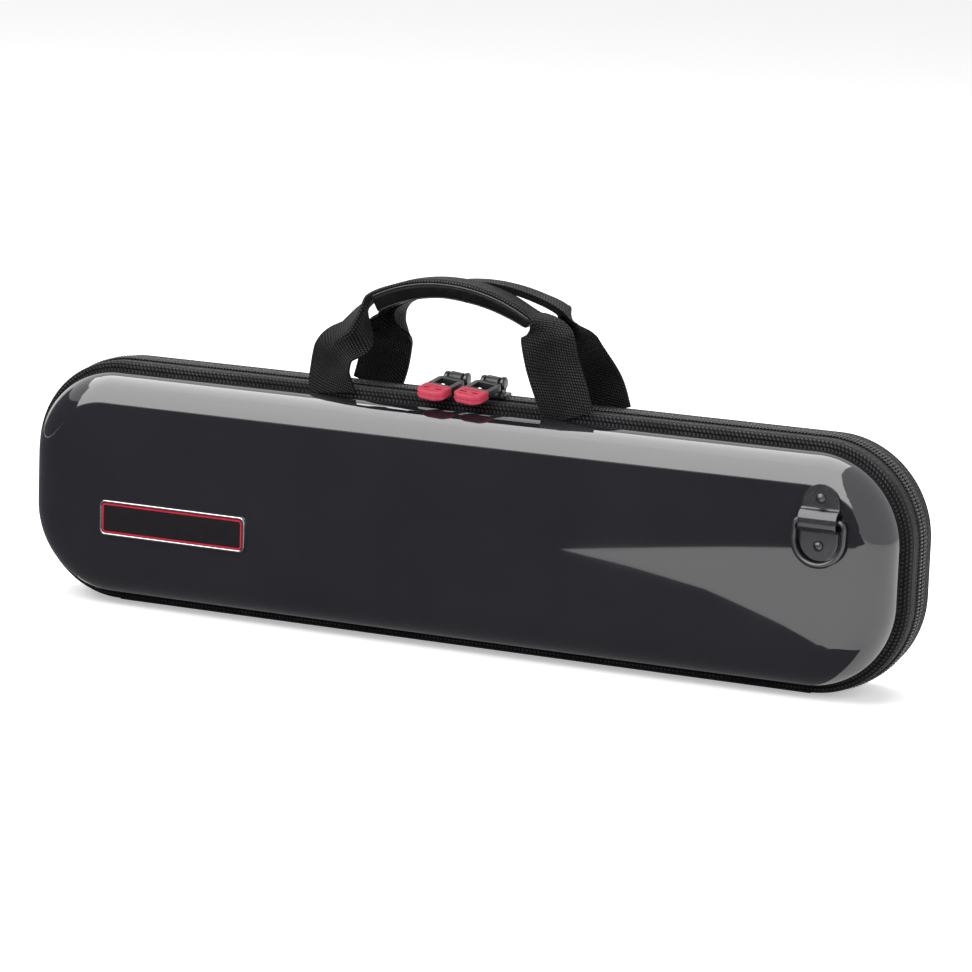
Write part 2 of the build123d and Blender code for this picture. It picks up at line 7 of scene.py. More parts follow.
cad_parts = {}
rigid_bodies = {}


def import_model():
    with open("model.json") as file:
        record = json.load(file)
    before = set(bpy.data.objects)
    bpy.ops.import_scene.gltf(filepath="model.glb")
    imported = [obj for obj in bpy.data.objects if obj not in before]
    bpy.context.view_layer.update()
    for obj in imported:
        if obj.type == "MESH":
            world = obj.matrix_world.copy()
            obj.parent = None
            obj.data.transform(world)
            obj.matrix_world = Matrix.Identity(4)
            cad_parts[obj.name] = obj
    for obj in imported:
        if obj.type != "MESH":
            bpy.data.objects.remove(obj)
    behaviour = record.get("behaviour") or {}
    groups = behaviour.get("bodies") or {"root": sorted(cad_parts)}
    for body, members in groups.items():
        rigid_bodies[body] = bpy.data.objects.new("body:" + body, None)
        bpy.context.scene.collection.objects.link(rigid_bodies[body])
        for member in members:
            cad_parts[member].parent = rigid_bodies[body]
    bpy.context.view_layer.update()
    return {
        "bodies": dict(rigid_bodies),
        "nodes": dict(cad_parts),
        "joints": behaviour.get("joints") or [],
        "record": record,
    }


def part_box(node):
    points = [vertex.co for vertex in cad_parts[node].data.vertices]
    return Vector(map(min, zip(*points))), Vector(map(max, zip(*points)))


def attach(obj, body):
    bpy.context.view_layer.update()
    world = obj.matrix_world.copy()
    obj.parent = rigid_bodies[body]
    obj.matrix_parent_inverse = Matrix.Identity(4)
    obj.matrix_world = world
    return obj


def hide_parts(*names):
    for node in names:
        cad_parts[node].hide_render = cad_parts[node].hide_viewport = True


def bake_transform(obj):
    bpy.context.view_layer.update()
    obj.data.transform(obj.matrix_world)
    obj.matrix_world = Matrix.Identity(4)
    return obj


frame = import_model()
mesh = bpy.ops.mesh

MM = 0.001
FINE_MERGE = 0.0001 * MM

# The rim, as the frame has it.
HALF_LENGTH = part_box("back_zip_coil")[1].x
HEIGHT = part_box("back_zip_coil")[1].z
CORNER_R = 44.4 * MM
MID_Z = HEIGHT / 2
END_X = HALF_LENGTH - CORNER_R
RIM_DEPTH = 13.8 * MM
SHELL_INSET = 4.8 * MM
SHELL_ROLL = 15.5 * MM
FACE_DEPTH = 32.0 * MM
CROWN_R_X = 15.0
CROWN_R_Z = 1.1
FRONT, BACK = -1, 1
BODY_OF = {FRONT: "lid", BACK: "back_half"}
HALF_NAME = {FRONT: "front", BACK: "back"}


# ---- working by hand

def leave():
    bpy.ops.object.mode_set(mode="OBJECT")


def clear_selection():
    if bpy.context.mode != "OBJECT":
        leave()
    bpy.ops.object.select_all(action="DESELECT")


def pick(piece):
    clear_selection()
    piece.select_set(True)
    bpy.context.view_layer.objects.active = piece


def edit(piece, action="SELECT"):
    """Open a piece for editing with everything selected, or nothing."""
    pick(piece)
    bpy.ops.object.mode_set(mode="EDIT")
    mesh.select_all(action=action)


def add(operator, name, **how):
    """Add one primitive with nothing else selected."""
    clear_selection()
    operator(**how)
    piece = bpy.context.object
    piece.name = piece.data.name = name
    return piece


def modify(piece, kind, **settings):
    """Add a modifier, set it and apply it."""
    pick(piece)
    modifier = piece.modifiers.new(kind.lower(), kind)
    for key, value in settings.items():
        setattr(modifier, key, value)
    bpy.ops.object.modifier_apply(modifier=modifier.name)
    return piece


def place(piece, **how):
    """Move, turn and scale a piece, and put that into its mesh."""
    for key, value in how.items():
        setattr(piece, key, value)
    pick(piece)
    bpy.ops.object.transform_apply(location=True, rotation=True, scale=True)
    return piece


def join(pieces, name):
    clear_selection()
    for piece in pieces:
        piece.select_set(True)
    bpy.context.view_layer.objects.active = pieces[0]
    bpy.ops.object.join()
    pieces[0].name = pieces[0].data.name = name
    return pieces[0]


def outward(piece, merge=0.001 * MM):
    """Merge doubles and turn every face outwards."""
    edit(piece)
    mesh.remove_doubles(threshold=merge)
    mesh.normals_make_consistent(inside=False)
    leave()
    return piece


def smooth(piece, degrees=40):
    pick(piece)
    bpy.ops.object.shade_smooth_by_angle(angle=radians(degrees))
    return piece


def other_half(piece, name):
    """The same piece mirrored across the zip, for the other half of the case."""
    twin = piece.copy()
    twin.data = piece.data.copy()
    twin.name = twin.data.name = name
    bpy.context.scene.collection.objects.link(twin)
    place(twin, scale=(1, -1, 1))
    edit(twin)
    mesh.flip_normals()
    leave()
    return twin


def block(name, low, high):
    """A box between two corners, as a start for shaping."""
    centre = (Vector(low) + Vector(high)) / 2
    piece = add(mesh.primitive_cube_add, name, size=1, location=centre)
    return place(piece, scale=Vector(high) - Vector(low))


def select_where(piece, kind, test):
    """Select a piece's faces, edges or points by a test on each, and nothing else."""
    pick(piece)
    bpy.ops.object.mode_set(mode="EDIT")
    mesh.select_mode(type={"polygons": "FACE", "edges": "EDGE", "vertices": "VERT"}[kind])
    mesh.select_all(action="DESELECT")
    leave()
    for item in getattr(piece.data, kind):
        item.select = test(item)
    bpy.ops.object.mode_set(mode="EDIT")


def edge_ends(piece, edge):
    return [piece.data.vertices[i].co for i in edge.vertices]


def bevel_edges(piece, test, width, segments):
    """Round the edges whose two ends pass a test."""
    select_where(piece, "edges", lambda edge: test(*edge_ends(piece, edge)))
    mesh.bevel(offset=width, offset_type="OFFSET", segments=segments, affect="EDGES")
    leave()


def select_open_edges():
    mesh.select_all(action="DESELECT")
    mesh.select_mode(type="EDGE")
    mesh.select_non_manifold()


def soft_edges(piece, width, segments, degrees):
    """Round every edge that is sharper than an angle."""
    return modify(piece, "BEVEL", width=width, segments=segments, limit_method="ANGLE",
                  angle_limit=radians(degrees))


def slice_across(piece, axis, places):
    """Cut a piece through across an axis at some places, so that it can be shaped there."""
    normal = [int(axis == i) for i in range(3)]
    edit(piece)
    for at in places:
        mesh.select_all(action="SELECT")
        mesh.bisect(plane_co=[at * n for n in normal], plane_no=normal)
    leave()


def carve(piece, cutter):
    """Take a cutter's form out of a piece."""
    modify(piece, "BOOLEAN", operation="DIFFERENCE", solver="EXACT", object=cutter)
    bpy.data.objects.remove(cutter)


def repeat(piece, pitch, count):
    """Copy a small piece along X in even steps."""
    return modify(piece, "ARRAY", use_relative_offset=False, use_constant_offset=True,
                  constant_offset_displace=(pitch, 0, 0), count=count)


def rolled_block(name, low, high, corner, corner_steps, roll, roll_steps, face_y):
    """A block with the case's rounded outline and a rolled edge round one face."""
    form = block(name, low, high)
    bevel_edges(form, lambda a, b: abs(a.y - b.y) > 0.5 * MM, corner, corner_steps)
    bevel_edges(form, lambda a, b: max(abs(a.y - face_y), abs(b.y - face_y)) < 0.01 * MM,
                roll, roll_steps)
    return form


def clamped(value):
    return min(1.0, max(0.0, value))


# ---- finishes

class Finish:
    """One material's node tree, built up step by step."""

    def __init__(self, name, colour, roughness, **sockets):
        self.material = bpy.data.materials.new(name)
        self.material.use_nodes = True
        self.tree = self.material.node_tree
        self.shader = self.tree.nodes["Principled BSDF"]
        self.bumped = None
        sockets.update(Base_Color=(*colour, 1), Roughness=roughness)
        for key, value in sockets.items():
            self.shader.inputs[key.replace("_", " ")].default_value = value

    def node(self, kind, **settings):
        made = self.tree.nodes.new(kind)
        for key, value in settings.items():
            if key in made.inputs:
                made.inputs[key].default_value = value
            else:
                setattr(made, key, value)
        return made

    def link(self, output, socket):
        self.tree.links.new(output, socket)

    def math(self, operation, first, second=0.0):
        made = self.node("ShaderNodeMath", operation=operation)
        for socket, value in zip(made.inputs, (first, second)):
            if isinstance(value, (int, float)):
                socket.default_value = value
            else:
                self.link(value, socket)
        return made.outputs[0]

    def place(self, source="Object", scale=(1, 1, 1)):
        """Coordinates of the piece, or of its UV map, scaled for a pattern."""
        coordinates = self.node("ShaderNodeTexCoord")
        mapping = self.node("ShaderNodeMapping", Scale=scale)
        self.link(coordinates.outputs[source], mapping.inputs["Vector"])
        return mapping.outputs[0]

    def noise(self, where, size, detail=3.0):
        made = self.node("ShaderNodeTexNoise", Scale=1 / size, Detail=detail, Roughness=0.55)
        self.link(where, made.inputs["Vector"])
        return made.outputs["Fac"]

    def span(self, factor, low, high, from_low=0.0, from_high=1.0):
        ends = {"From Min": from_low, "From Max": from_high, "To Min": low, "To Max": high}
        made = self.node("ShaderNodeMapRange", **ends)
        self.link(factor, made.inputs["Value"])
        return made.outputs[0]

    def colour(self, factor, stops):
        """Base colour from a ramp through stops given as (position, colour)."""
        made = self.node("ShaderNodeValToRGB")
        points = made.color_ramp.elements
        while len(points) < len(stops):
            points.new(0.5)
        for point, (at, colour) in zip(points, stops):
            point.position = at
            point.color = (*colour, 1)
        self.link(factor, made.inputs["Fac"])
        self.link(made.outputs["Color"], self.shader.inputs["Base Color"])

    def rough(self, factor, low, high, from_low=0.3, from_high=0.7):
        self.link(self.span(factor, low, high, from_low, from_high),
                  self.shader.inputs["Roughness"])

    def bump(self, height, depth, strength=1.0):
        made = self.node("ShaderNodeBump", Distance=depth, Strength=strength)
        self.link(height, made.inputs["Height"])
        if self.bumped is not None:
            self.link(self.bumped, made.inputs["Normal"])
        self.bumped = made.outputs["Normal"]
        self.link(self.bumped, self.shader.inputs["Normal"])
        return self

    def threads(self, where, lean=0.0):
        """Height of a plain weave, one thread to each unit of the coordinates."""
        parts = self.node("ShaderNodeSeparateXYZ")
        self.link(where, parts.inputs[0])
        along, across = parts.outputs[0], parts.outputs[1]
        if lean:
            along = self.math("ADD", along, self.math("MULTIPLY", across, lean))
        over = self.math("ADD", self.math("FLOOR", along), self.math("FLOOR", across))
        over = self.math("ABSOLUTE", self.math("MODULO", over, 2.0))
        under = self.math("SUBTRACT", 1.0, over)
        waves = [self.math("ABSOLUTE", self.math("SINE", self.math("MULTIPLY", axis, pi)))
                 for axis in (along, across)]
        heights = []
        for own, crossing, on_top in zip(waves, reversed(waves), (over, under)):
            rise = self.math("ADD", 0.45, self.math("MULTIPLY", crossing, 0.55))
            thread = self.math("MULTIPLY", self.math("POWER", own, 0.6), rise)
            heights.append(self.math("MULTIPLY", thread, on_top))
        return self.math("ADD", *heights)


def cloudy_finish(name, colour, roughness, cloud, gloss, stops, grain, **sockets):
    """A finish with clouds in its gloss and its colour, and a fine grain.

    cloud is (size, detail), gloss the lowest and highest roughness, stops a ramp of colours
    and grain (size, detail, depth, strength).
    """
    surface = Finish(name, colour, roughness, **sockets)
    here = surface.place()
    clouds = surface.noise(here, *cloud)
    if gloss:
        surface.rough(clouds, *gloss)
    if stops:
        surface.colour(clouds, stops)
    return surface.bump(surface.noise(here, *grain[:2]), *grain[2:]).material


def woven_finish(name, thread, colour, painted_highlight, depth, lean=0.0):
    """Woven fabric with painted shade in the hollows between threads and a painted highlight on the
    thread tops; thread is the pitch in metres along the piece and across it.
    """
    cloth = Finish(name, colour, 0.62, Sheen_Weight=0.02, Sheen_Roughness=0.4,
                   Specular_IOR_Level=0.12)
    height = cloth.threads(cloth.place("UV", (1 / thread[0], 1 / thread[1], 1)), lean)
    fibre = cloth.noise(cloth.place("UV"), thread[0] * 0.35, 2)
    patch = cloth.noise(cloth.place(), 0.03)
    mixed = cloth.math("MULTIPLY", height, cloth.span(patch, 0.8, 1.15, 0.3, 0.7))
    # Painted shade and light: the ramp darkens the weave's hollows to a third of the colour and
    # lightens the thread tops to the highlight colour.
    shade = tuple(c * 0.35 for c in colour)
    cloth.colour(mixed, [(0.15, shade), (0.75, colour), (1.0, painted_highlight)])
    cloth.rough(height, 0.75, 0.5, 0.2, 0.9)
    cloth.bump(height, depth)
    return cloth.bump(fibre, depth * 0.25, 0.5).material


def moulded_finish(name, colour, roughness, **sockets):
    """Moulded plastic or rubber with a fine even grain."""
    shades = [(0.3, tuple(c * 0.85 for c in colour)), (0.7, tuple(c * 1.1 for c in colour))]
    return cloudy_finish(name, colour, roughness, (0.004, 4), (roughness * 0.85, roughness * 1.2),
                         shades, (0.00035, 2, 0.00003, 0.6), **sockets)


def vinyl_finish():
    """Smooth grip cover with a faint leather grain."""
    vinyl = Finish("grip_vinyl", (0.004, 0.004, 0.0045), 0.33, Specular_IOR_Level=0.12)
    here = vinyl.place()
    cells = vinyl.node("ShaderNodeTexVoronoi", Scale=1 / 0.0009, feature="DISTANCE_TO_EDGE")
    vinyl.link(here, cells.inputs["Vector"])
    vinyl.rough(vinyl.noise(here, 0.004), 0.26, 0.42)
    vinyl.bump(cells.outputs["Distance"], 0.00006, 0.5)
    return vinyl.bump(vinyl.noise(here, 0.006), 0.0003, 0.35).material


def metal_finish(name, colour, roughness, metallic):
    """Painted or plated metal, a little cloudy where it has been handled."""
    return cloudy_finish(name, colour, roughness, (0.004,), (roughness * 0.9, roughness * 1.2),
                         None, (0.0008, 3, 0.000006, 0.5), Metallic=metallic)


LACQUER = {"Coat_Weight": 0.8, "Coat_Roughness": 0.03}
FINISHES = {
    "shell": cloudy_finish(    # near-black moulded plastic with a high gloss
        "shell_gloss", (0.011, 0.011, 0.0145), 0.05, (0.05, 4), (0.035, 0.075),
        [(0.3, (0.0105, 0.0105, 0.0135)), (0.7, (0.0135, 0.0135, 0.0165))],
        (0.03, 2, 0.00003, 0.25), Coat_Weight=1.0, Coat_Roughness=0.02, Coat_IOR=1.5, IOR=1.45),
    # In the woven finishes, the second colour is the painted highlight on the thread tops.
    "woven_band": woven_finish(
        "band_weave", (0.00085, 0.0008), (0.02, 0.02, 0.0205), (0.075, 0.075, 0.076), 0.0003, 0.5),
    "zip_tape": woven_finish(
        "tape_weave", (0.0006, 0.0007), (0.022, 0.022, 0.023), (0.05, 0.05, 0.052), 0.00012),
    "zip_coil": moulded_finish("coil_plastic", (0.02, 0.02, 0.021), 0.3),
    "hinge_fabric": woven_finish(
        "hinge_weave", (0.0006, 0.0006), (0.015, 0.015, 0.016), (0.035, 0.035, 0.036), 0.00012),
    "webbing": woven_finish(
        "webbing_knit", (0.00135, 0.0011), (0.0035, 0.0035, 0.0038), (0.05, 0.05, 0.052), 0.0005,
        0.35),
    "grip_vinyl": vinyl_finish(),
    "plush": cloudy_finish(    # short black pile
        "plush", (0.006, 0.006, 0.007), 0.95, (0.02, 4), None,
        [(0.3, (0.004, 0.004, 0.005)), (0.7, (0.011, 0.011, 0.012))], (0.0005, 2, 0.0004, 0.7),
        Sheen_Weight=0.6, Sheen_Roughness=0.35, Specular_IOR_Level=0.1),
    "black_metal": metal_finish("black_metal", (0.07, 0.07, 0.074), 0.24, 0.85),
    "pull_plastic": moulded_finish("pull_plastic", (0.016, 0.017, 0.017), 0.38),
    "red_rubber": moulded_finish("red_rubber", (0.52, 0.05, 0.09), 0.5, Specular_IOR_Level=0.2),
    "badge_edge": metal_finish("badge_edge", (0.62, 0.62, 0.64), 0.2, 1.0),
    "badge_field": moulded_finish("badge_field", (0.008, 0.007, 0.008), 0.12, **LACQUER),
}
FINISHES["foam"] = FINISHES["plush"]
# Its second colour is the painted highlight on the thread tops.
BINDING_WEAVE = woven_finish(
    "binding_weave", (0.0019, 0.0018), (0.006, 0.006, 0.0065), (0.05, 0.05, 0.053), 0.0006, 0.5)
THREAD = moulded_finish("sewing_thread", (0.022, 0.022, 0.023), 0.45)
# Painted highlight: a lighter copy of the grip vinyl for the rolled edges, where the light catches
# them.
HIGHLIT_EDGE_VINYL = moulded_finish("highlit_edge_vinyl", (0.022, 0.022, 0.023), 0.4)
BADGE_RED = moulded_finish("badge_red", (0.55, 0.006, 0.03), 0.2, **LACQUER)


def coat(piece, material):
    piece.data.materials.clear()
    piece.data.materials.append(material)


def dress_nodes():
    """Give every carried-over CAD node the finish of its slot."""
    for part in frame["record"]["subparts"]:
        coat(frame["nodes"][part["node"]], FINISHES[part["material_slot"]])


def dress(piece, slot, material=None):
    """Give a piece the finish of a slot, or another."""
    coat(piece, material or FINISHES[slot])


def finish_piece(piece, slot, body, *nodes, material=None):
    """Dress a piece, let it ride on a body and let it stand for its nodes."""
    dress(piece, slot, material)
    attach(piece, body)
    if nodes:
        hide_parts(*nodes)


# ---- camera, floor and light

TARGET = Vector((0.00865, 0, 0.0717))
CAMERA_DISTANCE = 1.95
CAMERA_YAW = radians(24.45)
CAMERA_PITCH = radians(10.66)
CAMERA_ROLL = radians(2.05)
LENS = 161.9
FLOOR_LIFT = 0.4
WORLD_FILL = 0.5
CARD_BLACK = ((0.0, 0.0, 0.0), (0.95, 0.92, 1.0), 0.14)    # colour, glow and its strength
CARD_GLOW = ((1.0, 1.0, 1.0), (1.0, 1.0, 1.0), 3.6)
ROOM_LEFT, ROOM_FRONT, ROOM_BACK = -2.6, -2.5, 1.2
# The dark floor's edge, which runs under the case: x and y in metres.
DARK_FLOOR = (
    (-2.0, 1.2), (-0.2, 1.2), (-0.2, -0.01), (0.17, -0.01), (0.215, -0.04), (0.155, -0.114),
    (0.121, -0.151), (0.061, -0.21), (0.007, -0.246), (-0.042, -0.272), (0.021, -0.355),
    (0.083, -0.421), (0.45, -0.9), (0.45, -2.5), (-2.0, -2.5),
)


def make_camera():
    bpy.context.scene.view_settings.view_transform = "Standard"
    back = Vector((
        sin(CAMERA_YAW) * cos(CAMERA_PITCH),
        -cos(CAMERA_YAW) * cos(CAMERA_PITCH),
        sin(CAMERA_PITCH),
    ))
    level = Vector((cos(CAMERA_YAW), sin(CAMERA_YAW), 0))
    upright = back.cross(level)
    right = level * cos(CAMERA_ROLL) + upright * sin(CAMERA_ROLL)
    up = upright * cos(CAMERA_ROLL) - level * sin(CAMERA_ROLL)
    bpy.ops.object.camera_add(location=TARGET + back * CAMERA_DISTANCE)
    camera = bpy.context.object
    turn = Matrix((right, up, back)).transposed()
    camera.rotation_euler = turn.to_euler()
    camera.data.lens = LENS
    camera.data.sensor_width = 36
    camera.data.clip_start = 0.05
    bpy.context.scene.camera = camera


def plain_card(name, colour, glow, strength):
    """A studio card's material: flat colour with a soft glow."""
    return Finish(name, colour, 1.0, Specular_IOR_Level=0.0, Emission_Color=(*glow, 1),
                  Emission_Strength=strength).material


def directly_seen(tree):
    """1 on rays from the camera, off a mirror or through glass, and 0 on all others."""
    path = tree.nodes.new("ShaderNodeLightPath")
    seen = path.outputs["Is Camera Ray"]
    for ray in ("Is Glossy Ray", "Is Transmission Ray"):
        either = tree.nodes.new("ShaderNodeMath")
        either.operation = "MAXIMUM"
        tree.links.new(seen, either.inputs[0])
        tree.links.new(path.outputs[ray], either.inputs[1])
        seen = either.outputs[0]
    return seen


def make_floor():
    """Pale floor that shows white where it is lit, and keeps the object's shadow."""
    floor = add(mesh.primitive_plane_add, "studio_floor", size=14, location=(0, 0, 0))
    pale = Finish("studio_floor", (0.88, 0.88, 0.88), 0.9, Specular_IOR_Level=0.1,
                  Emission_Color=(1, 1, 1, 1))
    lift = pale.math("MULTIPLY", directly_seen(pale.tree), FLOOR_LIFT)
    pale.link(lift, pale.shader.inputs["Emission Strength"])
    floor.data.materials.append(pale.material)


def make_world():
    """White where it is seen, with a weaker fill light on the surfaces."""
    world = bpy.context.scene.world or bpy.data.worlds.new("studio")
    bpy.context.scene.world = world
    world.use_nodes = True
    tree = world.node_tree
    tree.nodes.clear()
    mix = tree.nodes.new("ShaderNodeMixShader")
    out = tree.nodes.new("ShaderNodeOutputWorld")
    for socket, strength in zip(mix.inputs[1:], (WORLD_FILL, 1.0)):
        background = tree.nodes.new("ShaderNodeBackground")
        background.inputs["Color"].default_value = (1, 1, 1, 1)
        background.inputs["Strength"].default_value = strength
        tree.links.new(background.outputs[0], socket)
    tree.links.new(directly_seen(tree), mix.inputs["Fac"])
    tree.links.new(mix.outputs[0], out.inputs["Surface"])


def studio_card(name, material, corners):
    """A flat card that only shows in reflections, drawn by its corners in metres."""
    card = add(mesh.primitive_circle_add, name, vertices=len(corners), radius=1,
               fill_type="NGON")
    for point, corner in zip(card.data.vertices, corners):
        point.co = corner
    card.data.materials.append(material)
    card.visible_camera = card.visible_diffuse = card.visible_shadow = False
    card.visible_transmission = card.visible_volume_scatter = False


def make_cards():
    black = plain_card("studio_black", *CARD_BLACK)
    glow = plain_card("studio_glow", *CARD_GLOW)
    left, front, back = ROOM_LEFT, ROOM_FRONT, ROOM_BACK
    studio_card("dark_sweep", black, [(x, y, 0.0006) for x, y in reversed(DARK_FLOOR)])
    studio_card("dark_left", black, [
        (left, back, 0), (left, front, 0), (left, front, 1.2), (left, back, 1.2)])
    studio_card("dark_front", black, [
        (left, front, 0), (0.45, front, 0), (0.45, front, 0.6), (left, front, 0.6)])
    studio_card("overhead_glow", glow, [
        (left, front, 0.75), (0.6, front, 0.75), (0.6, -0.6, 2.3), (0.6, 1.4, 2.3),
        (left, 1.4, 2.3), (left, -0.6, 2.3)])


def soft_box(name, place_at, size, power):
    """A rectangular studio light, aimed at the case."""
    clear_selection()
    bpy.ops.object.light_add(type="AREA", location=place_at)
    lamp = bpy.context.object
    lamp.name = name
    lamp.data.shape = "RECTANGLE"
    lamp.data.size, lamp.data.size_y = size
    lamp.data.energy = power
    aim = Vector((0, 0, 0.05)) - Vector(place_at)
    lamp.rotation_euler = aim.to_track_quat("-Z", "Y").to_euler()
    lamp.visible_glossy = False


def make_lights():
    soft_box("key", (-0.9, -1.3, 1.9), (1.4, 1.1), 34)
    soft_box("top", (0.1, 0.5, 1.9), (1.8, 0.8), 26)
    soft_box("fill", (1.8, -0.8, 1.3), (1.2, 1.2), 14)


# ---- the two gloss shells

SHELL_WALL = 2.0 * MM
FACE_CUT = 7.0 * MM


def crown_drop(x, z):
    """How far the bulging face falls away from its middle."""
    return x * x / (2 * CROWN_R_X) + (z - MID_Z) ** 2 / (2 * CROWN_R_Z)


def face_cuts(reach, centre):
    steps = int(reach / FACE_CUT)
    return [centre + step * FACE_CUT for step in range(-steps, steps + 1)]


def gloss_shell():
    """The front shell: rounded outline, rolled edge, crowned face and a thin wall."""
    low = (-HALF_LENGTH + SHELL_INSET, -FACE_DEPTH, SHELL_INSET)
    high = (HALF_LENGTH - SHELL_INSET, -RIM_DEPTH, HEIGHT - SHELL_INSET)
    form = rolled_block("front_gloss_shell", low, high, CORNER_R - SHELL_INSET, 28,
                        SHELL_ROLL, 18, -FACE_DEPTH)
    select_where(form, "polygons", lambda face: face.normal.y > 0.99)
    mesh.delete(type="FACE")
    leave()
    slice_across(form, 0, face_cuts(HALF_LENGTH, 0.0))
    slice_across(form, 2, face_cuts(HEIGHT / 2, MID_Z))
    for point in form.data.vertices:
        if point.co.y < -RIM_DEPTH - 0.1 * MM:
            point.co.y += crown_drop(point.co.x, point.co.z)
    outward(form)
    modify(form, "SOLIDIFY", thickness=SHELL_WALL, offset=-1, use_even_offset=True)
    return smooth(outward(form), 30)


def make_shells():
    front = gloss_shell()
    back = other_half(front, "back_gloss_shell")
    finish_piece(front, "shell", "lid", "front_shell")
    finish_piece(back, "shell", "back_half", "back_shell")


# ---- strips that follow the rim

CORNER_HANDLE = 0.5522847498    # a cubic curve's handle for a quarter circle, per radius
BEND_STEP = 2.1 * MM


def guide_curve(name, stops):
    """A curve through stops given as (point, direction of its run, reach before, reach after)."""
    clear_selection()
    bpy.ops.curve.primitive_bezier_curve_add(location=(0, 0, 0))
    curve = bpy.context.object
    curve.name = name
    points = curve.data.splines[0].bezier_points
    points.add(len(stops) - 2)
    for point, (at, run, before, after) in zip(points, stops):
        point.handle_left_type = point.handle_right_type = "FREE"
        point.co = at
        point.handle_left = at - run * before
        point.handle_right = at + run * after
    curve.data.dimensions = "3D"
    curve.data.resolution_u = 48
    curve.data.twist_mode = "MINIMUM"
    return curve


def rim_curve():
    """The rim's outline, from the middle of the underside and round to the right."""
    low, high = CORNER_R, HEIGHT - CORNER_R
    route = [
        ((0, 0), (1, 0)), ((END_X, 0), (1, 0)),
        ((HALF_LENGTH, low), (0, 1)), ((HALF_LENGTH, high), (0, 1)),
        ((END_X, HEIGHT), (-1, 0)), ((-END_X, HEIGHT), (-1, 0)),
        ((-HALF_LENGTH, high), (0, -1)), ((-HALF_LENGTH, low), (0, -1)),
        ((-END_X, 0), (1, 0)), ((0, 0), (1, 0)),
    ]
    reaches = [0.0]
    for (here, _), (there, _) in zip(route, route[1:]):
        across, along = abs(here[0] - there[0]), abs(here[1] - there[1])
        corner = min(across, along) > MM / 10
        reaches.append(CORNER_HANDLE * CORNER_R if corner else (across + along) / 3)
    reaches.append(0.0)
    return guide_curve("rim_guide", [
        (Vector((x, 0, z)), Vector((run_x, 0, run_z)), before, after)
        for ((x, z), (run_x, run_z)), before, after in zip(route, reaches, reaches[1:])])


RIM = rim_curve()
RIM_LENGTH = RIM.data.splines[0].calc_length()
ZIP_START = END_X + 0.02 * MM
ZIP_END = RIM_LENGTH - ZIP_START


def bend_round_rim(piece):
    """Local X becomes distance round the rim, and local Z the depth inside it."""
    modify(piece, "CURVE", object=RIM, deform_axis="POS_X")
    edit(piece)
    mesh.remove_doubles(threshold=0.04 * MM)
    leave()
    return piece


def straight_strip(name, profile, start, end):
    """A strip along X, drawn out row by row through a section given as (y, depth) points.

    Its UV map holds the distance along it and across it, in metres.
    """
    profile = [(y * MM, depth * MM) for y, depth in profile]
    travelled = [0.0]
    for here, there in zip(profile, profile[1:]):
        travelled.append(travelled[-1] + dist(here, there))
    cuts = max(2, int((end - start) / BEND_STEP))
    strip = add(mesh.primitive_grid_add, name, x_subdivisions=cuts, y_subdivisions=1, size=1)
    across = strip.data.attributes.new("across", "FLOAT", "POINT")
    for point in strip.data.vertices:
        row = 0 if point.co.y < 0 else 1
        point.co = (start + (point.co.x + 0.5) * (end - start), *profile[row])
        across.data[point.index].value = travelled[row]
    for row in range(1, len(profile) - 1):
        here, there = profile[row:row + 2]
        select_where(strip, "edges", lambda edge: all(
            dist(point.yz, here) < 0.001 * MM for point in edge_ends(strip, edge)))
        move = (0, there[0] - here[0], there[1] - here[1])
        mesh.extrude_region_move(TRANSFORM_OT_translate={"value": move})
        leave()
        across = strip.data.attributes["across"]
        for point in strip.data.vertices:
            if point.select:
                across.data[point.index].value = travelled[row + 1]
    layer = strip.data.uv_layers.active
    for corner in strip.data.loops:
        i = corner.vertex_index
        layer.data[corner.index].uv = (strip.data.vertices[i].co.x, across.data[i].value)
    return strip


def map_flat(sheet, length, width, middle=0.5):
    """UV map of a sheet that is still a unit square, in metres of its real size."""
    layer = sheet.data.uv_layers.active
    for corner in sheet.data.loops:
        flat = sheet.data.vertices[corner.vertex_index].co
        layer.data[corner.index].uv = ((flat.x + middle) * length, (flat.y + middle) * width)


def close_tube(strip, cap_ends):
    """Join the last row of a section to its first, and cap the ends of an open run."""
    outward(strip, 0.002 * MM)
    if cap_ends:
        edit(strip)
        select_open_edges()
        mesh.fill_holes(sides=0)
        leave()
        outward(strip, 0.002 * MM)
    return strip


def arc(y, depth, radius, first, last, steps):
    """Points of an arc in a section, angles in degrees from +Y towards the outside."""
    points = []
    for i in range(steps + 1):
        angle = radians(first + (last - first) * i / steps)
        points.append((y + radius * cos(angle), depth - radius * sin(angle)))
    return points


def band_section():
    """Woven band: from its raw edge in the case, over the top and down beside the zip tape."""
    over = [(10.9, 1.9), (10.7, 1.25), (10.3, 0.98), (9.6, 0.9), (8.95, 0.98), (8.7, 1.25)]
    hollow = [(8.62, 1.62), (6.6, 1.62), (6.6, 4.3), (0.45, 4.3), (0.4, 4.4), (0.4, 6.5),
              (0.5, 6.6)]
    return [(10.9, 6.6)] + over + hollow + [(10.9, 6.6)]


def binding_section():
    """Rounded binding that covers the shell's edge."""
    inside = arc(11.75, 2.95, 1.72, 200, 95, 8)
    outside = arc(11.75, 2.95, 2.0, 88, 10, 8)[1:]
    return inside + outside + [(13.84, 4.8), (13.8, 6.58), (11.0, 6.6), (10.93, 6.5), inside[0]]


def tape_section():
    """Zip tape, a little dished between its stitching and the coil."""
    top = [(9.0, 1.02), (8.4, 1.05), (8.1, 1.12), (7.8, 1.04), (6.5, 1.0), (4.2, 1.03),
           (3.7, 1.1), (0.9, 1.1)]
    return top + [(0.8, 1.2), (0.82, 1.48), (9.0, 1.5), (9.0, 1.02)]


